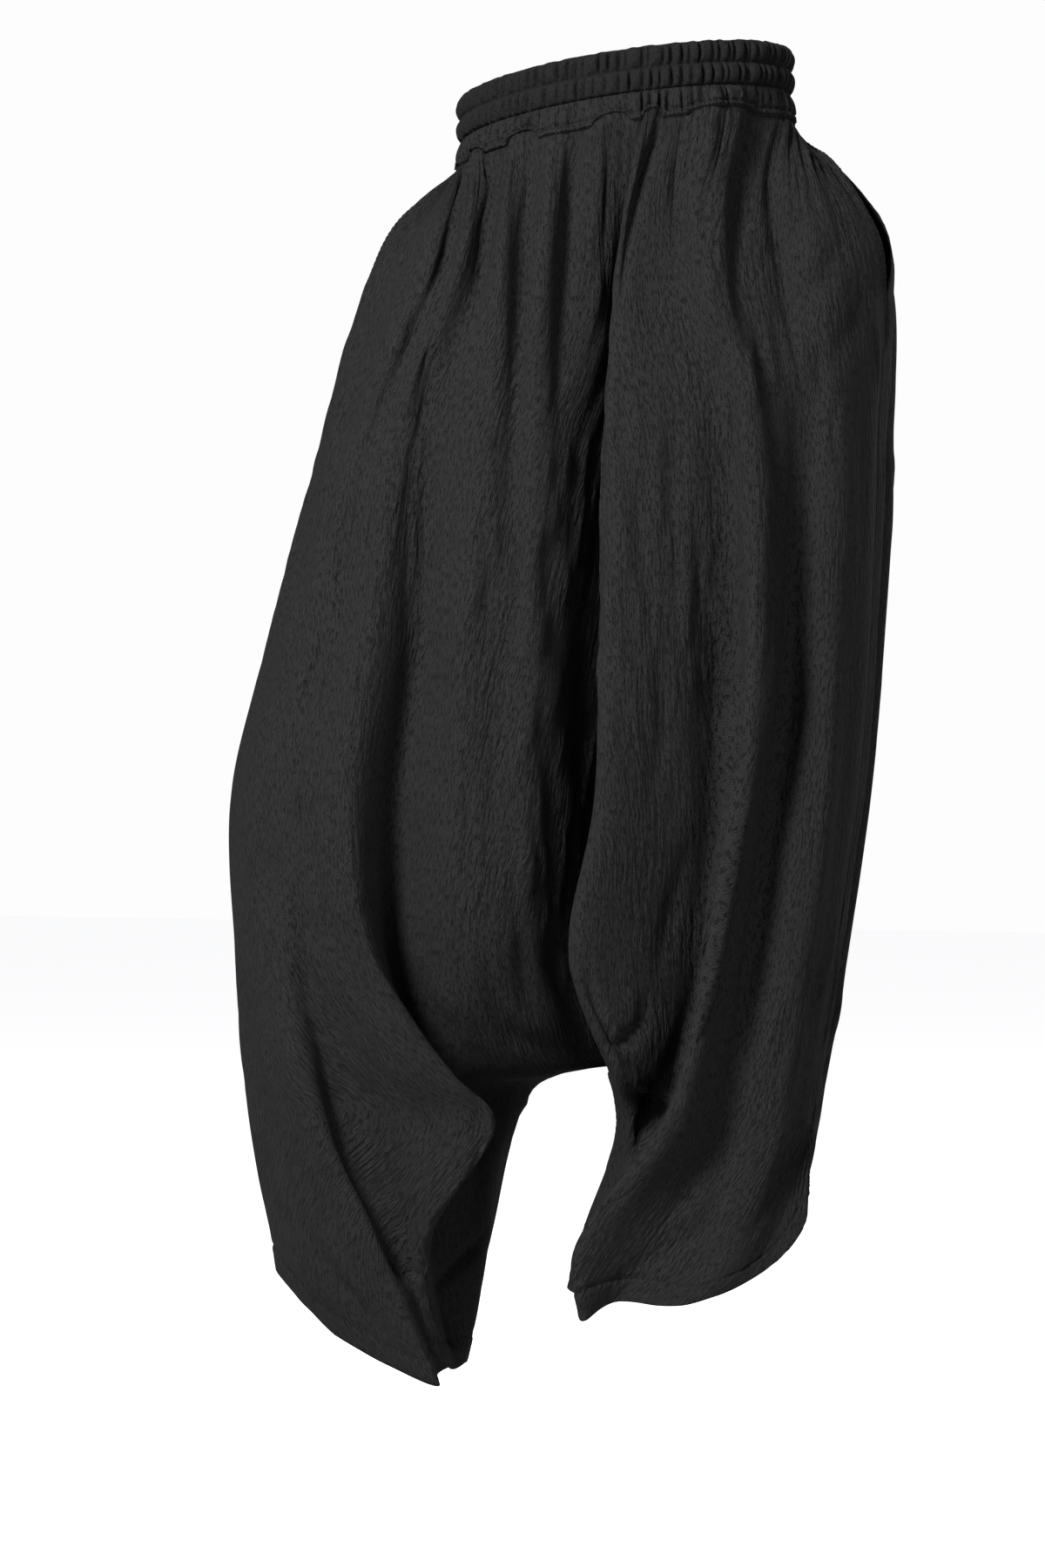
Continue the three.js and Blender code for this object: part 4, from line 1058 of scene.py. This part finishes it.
# %% [markdown]
# ## The crinkle, as a node group
# The panels, the band and the pocket bags share one cloth, so its smallest relief is one node
# group. It works in the cloth's own coordinates, where one unit is one metre, so the puckers are as
# long on every piece. Narrow cracks run between flat crests, longer wrinkles run under them, and a
# fine grain lies on top. Its outputs are a height for a Bump node and a mask for the colour: the
# fine grain varies the tone, the crests take painted light and the cracks take painted shade.

# %% Crinkle group
def stretched_noise(nodes, links, vector, across, along_grain, detail):
    """A noise whose cells are across by along_grain, both given by sockets."""
    size = nodes.new("ShaderNodeCombineXYZ")
    size.inputs["Z"].default_value = 1
    links.new(across, size.inputs["X"])
    links.new(along_grain, size.inputs["Y"])
    scaled = nodes.new("ShaderNodeVectorMath")
    scaled.operation = "DIVIDE"
    links.new(vector, scaled.inputs[0])
    links.new(size.outputs["Vector"], scaled.inputs[1])
    noise = nodes.new("ShaderNodeTexNoise")
    noise.inputs["Scale"].default_value = 1
    noise.inputs["Detail"].default_value = detail
    links.new(scaled.outputs["Vector"], noise.inputs["Vector"])
    return noise.outputs["Fac"]


def math_node(nodes, links, operation, first, second, third=0.0):
    node = nodes.new("ShaderNodeMath")
    node.operation = operation
    for socket, value in zip(node.inputs, (first, second, third)):
        if isinstance(value, (int, float)):
            socket.default_value = value
        else:
            links.new(value, socket)
    return node.outputs["Value"]


def make_crinkle_group():
    group = bpy.data.node_groups.new("crinkle", "ShaderNodeTree")
    inputs = (("Across", 0.0018), ("Along", 0.010), ("Waviness", 0.006), ("Wrinkles", 1.6),
              ("Grain", 0.35))
    kind = "NodeSocketFloat"
    for label, value in inputs:
        socket = group.interface.new_socket(name=label, in_out="INPUT", socket_type=kind)
        socket.default_value = value
    for label in ("Height", "Painted Light"):
        group.interface.new_socket(name=label, in_out="OUTPUT", socket_type=kind)
    nodes, links = group.nodes, group.links
    given = nodes.new("NodeGroupInput")
    result = nodes.new("NodeGroupOutput")
    place = nodes.new("ShaderNodeUVMap")
    place.uv_map = "cloth"
    sway = nodes.new("ShaderNodeTexNoise")
    sway.inputs["Scale"].default_value = 28
    sway.inputs["Detail"].default_value = 2
    links.new(place.outputs["UV"], sway.inputs["Vector"])
    spread = nodes.new("ShaderNodeCombineXYZ")
    links.new(given.outputs["Waviness"], spread.inputs["X"])
    swayed = nodes.new("ShaderNodeVectorMath")
    swayed.operation = "MULTIPLY_ADD"
    links.new(sway.outputs["Color"], swayed.inputs[0])
    links.new(spread.outputs["Vector"], swayed.inputs[1])
    links.new(place.outputs["UV"], swayed.inputs[2])
    vector = swayed.outputs["Vector"]
    across, along_grain = given.outputs["Across"], given.outputs["Along"]
    pucker = stretched_noise(nodes, links, vector, across, along_grain, 2)
    crests = nodes.new("ShaderNodeMapRange")
    crests.interpolation_type = "SMOOTHSTEP"
    crests.inputs["From Min"].default_value = 0.32
    crests.inputs["From Max"].default_value = 0.5
    links.new(pucker, crests.inputs["Value"])
    wide = math_node(nodes, links, "MULTIPLY", across, 2.8)
    long = math_node(nodes, links, "MULTIPLY", along_grain, 3.6)
    wrinkle = stretched_noise(nodes, links, vector, wide, long, 1)
    patch = nodes.new("ShaderNodeTexNoise")
    patch.inputs["Scale"].default_value = 13
    patch.inputs["Detail"].default_value = 1
    links.new(place.outputs["UV"], patch.inputs["Vector"])
    lively = nodes.new("ShaderNodeMapRange")
    lively.interpolation_type = "SMOOTHSTEP"
    lively.inputs["From Min"].default_value = 0.38
    lively.inputs["From Max"].default_value = 0.62
    lively.inputs["To Min"].default_value = 0.3
    links.new(patch.outputs["Fac"], lively.inputs["Value"])
    wrinkles = math_node(nodes, links, "MULTIPLY", wrinkle, given.outputs["Wrinkles"])
    wrinkles = math_node(nodes, links, "MULTIPLY", wrinkles, lively.outputs["Result"])
    grain = nodes.new("ShaderNodeTexNoise")
    grain.inputs["Scale"].default_value = 1250
    grain.inputs["Detail"].default_value = 1
    links.new(place.outputs["UV"], grain.inputs["Vector"])
    height = math_node(nodes, links, "MULTIPLY_ADD", crests.outputs["Result"], 0.5, wrinkles)
    height = math_node(nodes, links, "MULTIPLY_ADD", grain.outputs["Fac"],
                       given.outputs["Grain"], height)
    links.new(height, result.inputs["Height"])
    # Painted light: the fine grain varies the tone, and the crests of the puckers are painted
    # lighter than the cracks, which read as painted shade.
    grain_and_painted_light = math_node(nodes, links, "MULTIPLY_ADD", grain.outputs["Fac"], 2.2, -0.9)
    grain_and_painted_light = math_node(nodes, links, "MULTIPLY_ADD", crests.outputs["Result"], 0.45, grain_and_painted_light)
    links.new(grain_and_painted_light, result.inputs["Painted Light"])
    return group


crinkle = make_crinkle_group()

# %% [markdown]
# ## Cloth and thread
# The cloth is black cotton crepe: very dark and matt, with the least sheen from its nap. The
# thread is of the same tone, so its rows read as fine dark lines. A velvet shader could give the
# nap, but both stay plain Principled shaders, so they export as they look.

# %% Materials
def make_cloth(name, grain_and_painted_shade, grain_and_painted_light, across, along_grain, wrinkles, relief):
    material = bpy.data.materials.new(name)
    material.use_nodes = True
    nodes, links = material.node_tree.nodes, material.node_tree.links
    shader = nodes["Principled BSDF"]
    shader.inputs["Roughness"].default_value = 0.95
    shader.inputs["Specular IOR Level"].default_value = 0.04
    shader.inputs["Sheen Weight"].default_value = 0.003
    shader.inputs["Sheen Roughness"].default_value = 0.7
    effect = nodes.new("ShaderNodeGroup")
    effect.node_tree = crinkle
    effect.inputs["Across"].default_value = across
    effect.inputs["Along"].default_value = along_grain
    effect.inputs["Wrinkles"].default_value = wrinkles
    # The base colour is painted: the dark colour is painted shade in the cracks and the light one
    # is painted light on the crests, with the grain's random tone between.
    mix = nodes.new("ShaderNodeMix")
    mix.data_type = "RGBA"
    mix.inputs["A"].default_value = (*grain_and_painted_shade, 1)
    mix.inputs["B"].default_value = (*grain_and_painted_light, 1)
    links.new(effect.outputs["Painted Light"], mix.inputs["Factor"])
    links.new(mix.outputs["Result"], shader.inputs["Base Color"])
    bump = nodes.new("ShaderNodeBump")
    bump.inputs["Distance"].default_value = relief
    links.new(effect.outputs["Height"], bump.inputs["Height"])
    links.new(bump.outputs["Normal"], shader.inputs["Normal"])
    return material


# Each cloth's first colour is its painted shade in the cracks, and its second is its painted light
# on the crests.
panel_cloth = make_cloth("black_crepe", (0.0026, 0.0025, 0.0026), (0.0115, 0.0111, 0.0112),
                         0.0012, 0.0065, 2.5, 0.0018)
band_cloth = make_cloth("band_crepe", (0.003, 0.0029, 0.003), (0.0072, 0.007, 0.0071),
                        0.001, 0.005, 1.2, 0.001)
bag_cloth = make_cloth("pocket_cotton", (0.005, 0.005, 0.005), (0.009, 0.0085, 0.009),
                       0.001, 0.001, 0.2, 0.0002)
thread = bpy.data.materials.new("black_thread")
thread.use_nodes = True
thread_shader = thread.node_tree.nodes["Principled BSDF"]
thread_shader.inputs["Base Color"].default_value = (0.003, 0.0029, 0.003, 1)
thread_shader.inputs["Roughness"].default_value = 0.95
thread_shader.inputs["Specular IOR Level"].default_value = 0.04

# %% [markdown]
# ## Joining the pieces to the frame
# Every piece rides on the one body, names the solid that it stands for and the finish that it
# takes.

# %% Attach
def attach(piece, material, node=None):
    piece.data.materials.append(material)
    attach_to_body(piece, "root")
    if node:
        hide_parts(node)


for node, (piece, face, normals) in panels.items():
    attach(piece, panel_cloth, node)
for node, (piece, face, normals) in yokes.items():
    attach(piece, panel_cloth, node)
attach(band, band_cloth, "waistband")
for node, (piece, outside) in bags.items():
    attach(piece, bag_cloth, node)
for name, piece in stitching.items():
    attach(piece, thread)


# %% [markdown]
# ## Cut sizes
# A sewn sheet starts flat. Its cut is measured here over the finished face, with the gathers and
# wrinkles laid flat again, which follows any change of the form by itself.

# %% Cut sizes
def cut_size(name, face, closed=False):
    """The widest, the longest and the whole of a piece's face, in metres."""
    if closed:
        face = np.concatenate([face, face[:, :1]], axis=1)
    wide = np.linalg.norm(np.diff(face, axis=1), axis=2).sum(axis=1).max() * MM
    long = np.linalg.norm(np.diff(face, axis=0), axis=2).sum(axis=0).max() * MM
    a, b = face[1:, 1:] - face[:-1, :-1], face[:-1, 1:] - face[1:, :-1]
    area = np.linalg.norm(np.cross(a, b), axis=2).sum() / 2 * MM * MM
    print(name, "widest", round(wide, 3), "longest", round(long, 3), "area", round(area, 4))
    return wide, long, area


def declare(piece, face, closed=False):
    wide, long, area = cut_size(piece.name, face, closed)
    wide, long = round(wide, 3), round(long, 3)


declare(band, band_face, closed=True)
for node, (piece, face, normals) in yokes.items():
    declare(piece, face)
for node, (piece, face, normals) in panels.items():
    declare(piece, face)
for node, (piece, outside) in bags.items():
    declare(piece, outside, closed=True)

# %% [markdown]
# ## Floor, light and camera
# The photo was taken in a pale studio with broad soft light from the front. The camera stands
# four metres off, at mid height, and looks level. As in a studio, the backdrop is lit apart from
# the garment: the world shows a pale backdrop and gives the cloth a dimmer glow, and the floor
# looks white to the camera without throwing that light back up.

# %% Stage
FLOOR_Z = -1137 * MM
AMBIENT = 0.16
bpy.ops.mesh.primitive_plane_add(size=30, location=(0, 0, FLOOR_Z))
floor = bpy.context.object
floor.name = "studio_floor"
floor_look = bpy.data.materials.new("pale_floor")
floor_look.use_nodes = True
floor_shader = floor_look.node_tree.nodes["Principled BSDF"]
floor_shader.inputs["Base Color"].default_value = (0.5, 0.5, 0.5, 1)
floor_shader.inputs["Roughness"].default_value = 0.8
floor_seen = floor_look.node_tree.nodes.new("ShaderNodeLightPath")
floor_shader.inputs["Emission Color"].default_value = (0.86, 0.86, 0.87, 1)
floor_look.node_tree.links.new(floor_seen.outputs["Is Camera Ray"],
                               floor_shader.inputs["Emission Strength"])
floor.data.materials.append(floor_look)

world = bpy.data.worlds.new("studio")
world.use_nodes = True
nodes, links = world.node_tree.nodes, world.node_tree.links
backdrop = nodes["Background"]
backdrop.inputs["Color"].default_value = (0.98, 0.98, 0.99, 1)
glow = nodes.new("ShaderNodeBackground")
glow.inputs["Color"].default_value = (0.97, 0.98, 1, 1)
glow.inputs["Strength"].default_value = AMBIENT
seen = nodes.new("ShaderNodeLightPath")
either = nodes.new("ShaderNodeMixShader")
links.new(seen.outputs["Is Camera Ray"], either.inputs["Fac"])
links.new(glow.outputs["Background"], either.inputs[1])
links.new(backdrop.outputs["Background"], either.inputs[2])
links.new(either.outputs["Shader"], nodes["World Output"].inputs["Surface"])
bpy.context.scene.world = world
bpy.context.scene.view_settings.view_transform = "Standard"

# %% [markdown]
# ## Lights
# One large key from the front left models the folds, and their right-hand walls fall into shade.
# A weak fill and a rim keep the far side readable. A single sun would be harder than the photo.

# %% Lights
FACING = Matrix.Rotation(HIP_TURN, 4, "Z")


def add_light(name, place, target, size, power):
    """An area light, placed and aimed in metres in the drawing frame."""
    light = bpy.data.lights.new(name, "AREA")
    light.shape = "DISK"
    light.size = size
    light.energy = power
    lamp = bpy.data.objects.new(name, light)
    lamp.location = FACING @ Vector(place)
    aim = FACING @ Vector(target) - lamp.location
    lamp.rotation_euler = aim.to_track_quat("-Z", "Y").to_euler()
    bpy.context.scene.collection.objects.link(lamp)


add_light("key", (-1.8, -2.7, 1.3), (0, 0, -0.55), 1.0, 485)
add_light("fill", (2.6, -2.2, 0.4), (0, 0, -0.6), 1.6, 60)
add_light("rim", (1.8, 2.0, 1.2), (0, 0, -0.4), 1.2, 60)

print("lights", len(bpy.data.lights))

# %% [markdown]
# ## Camera
# The photo's view is level and long, with no tilt, so its lines stay upright. The focal length
# is kept in pixels of the photo's height, as it was found.

# %% Camera
CAMERA_FROM_DATUM = (-80.7 * MM, -4000 * MM, -548.6 * MM)
SENSOR = 36
FOCAL_PIXELS = 5797
PHOTO_HEIGHT = 1800
camera = bpy.data.cameras.new("photo_camera")
camera.sensor_width = SENSOR
camera.lens = FOCAL_PIXELS / PHOTO_HEIGHT * SENSOR
camera.clip_end = 60
eye = bpy.data.objects.new("photo_camera", camera)
eye.location = FACING @ Vector(CAMERA_FROM_DATUM) + Vector((0, 0, BAND_BELOW_DATUM * MM))
eye.rotation_euler = (math.radians(90), 0, HIP_TURN)
bpy.context.scene.collection.objects.link(eye)
bpy.context.scene.camera = eye
print("lens", round(camera.lens, 1), "mm")
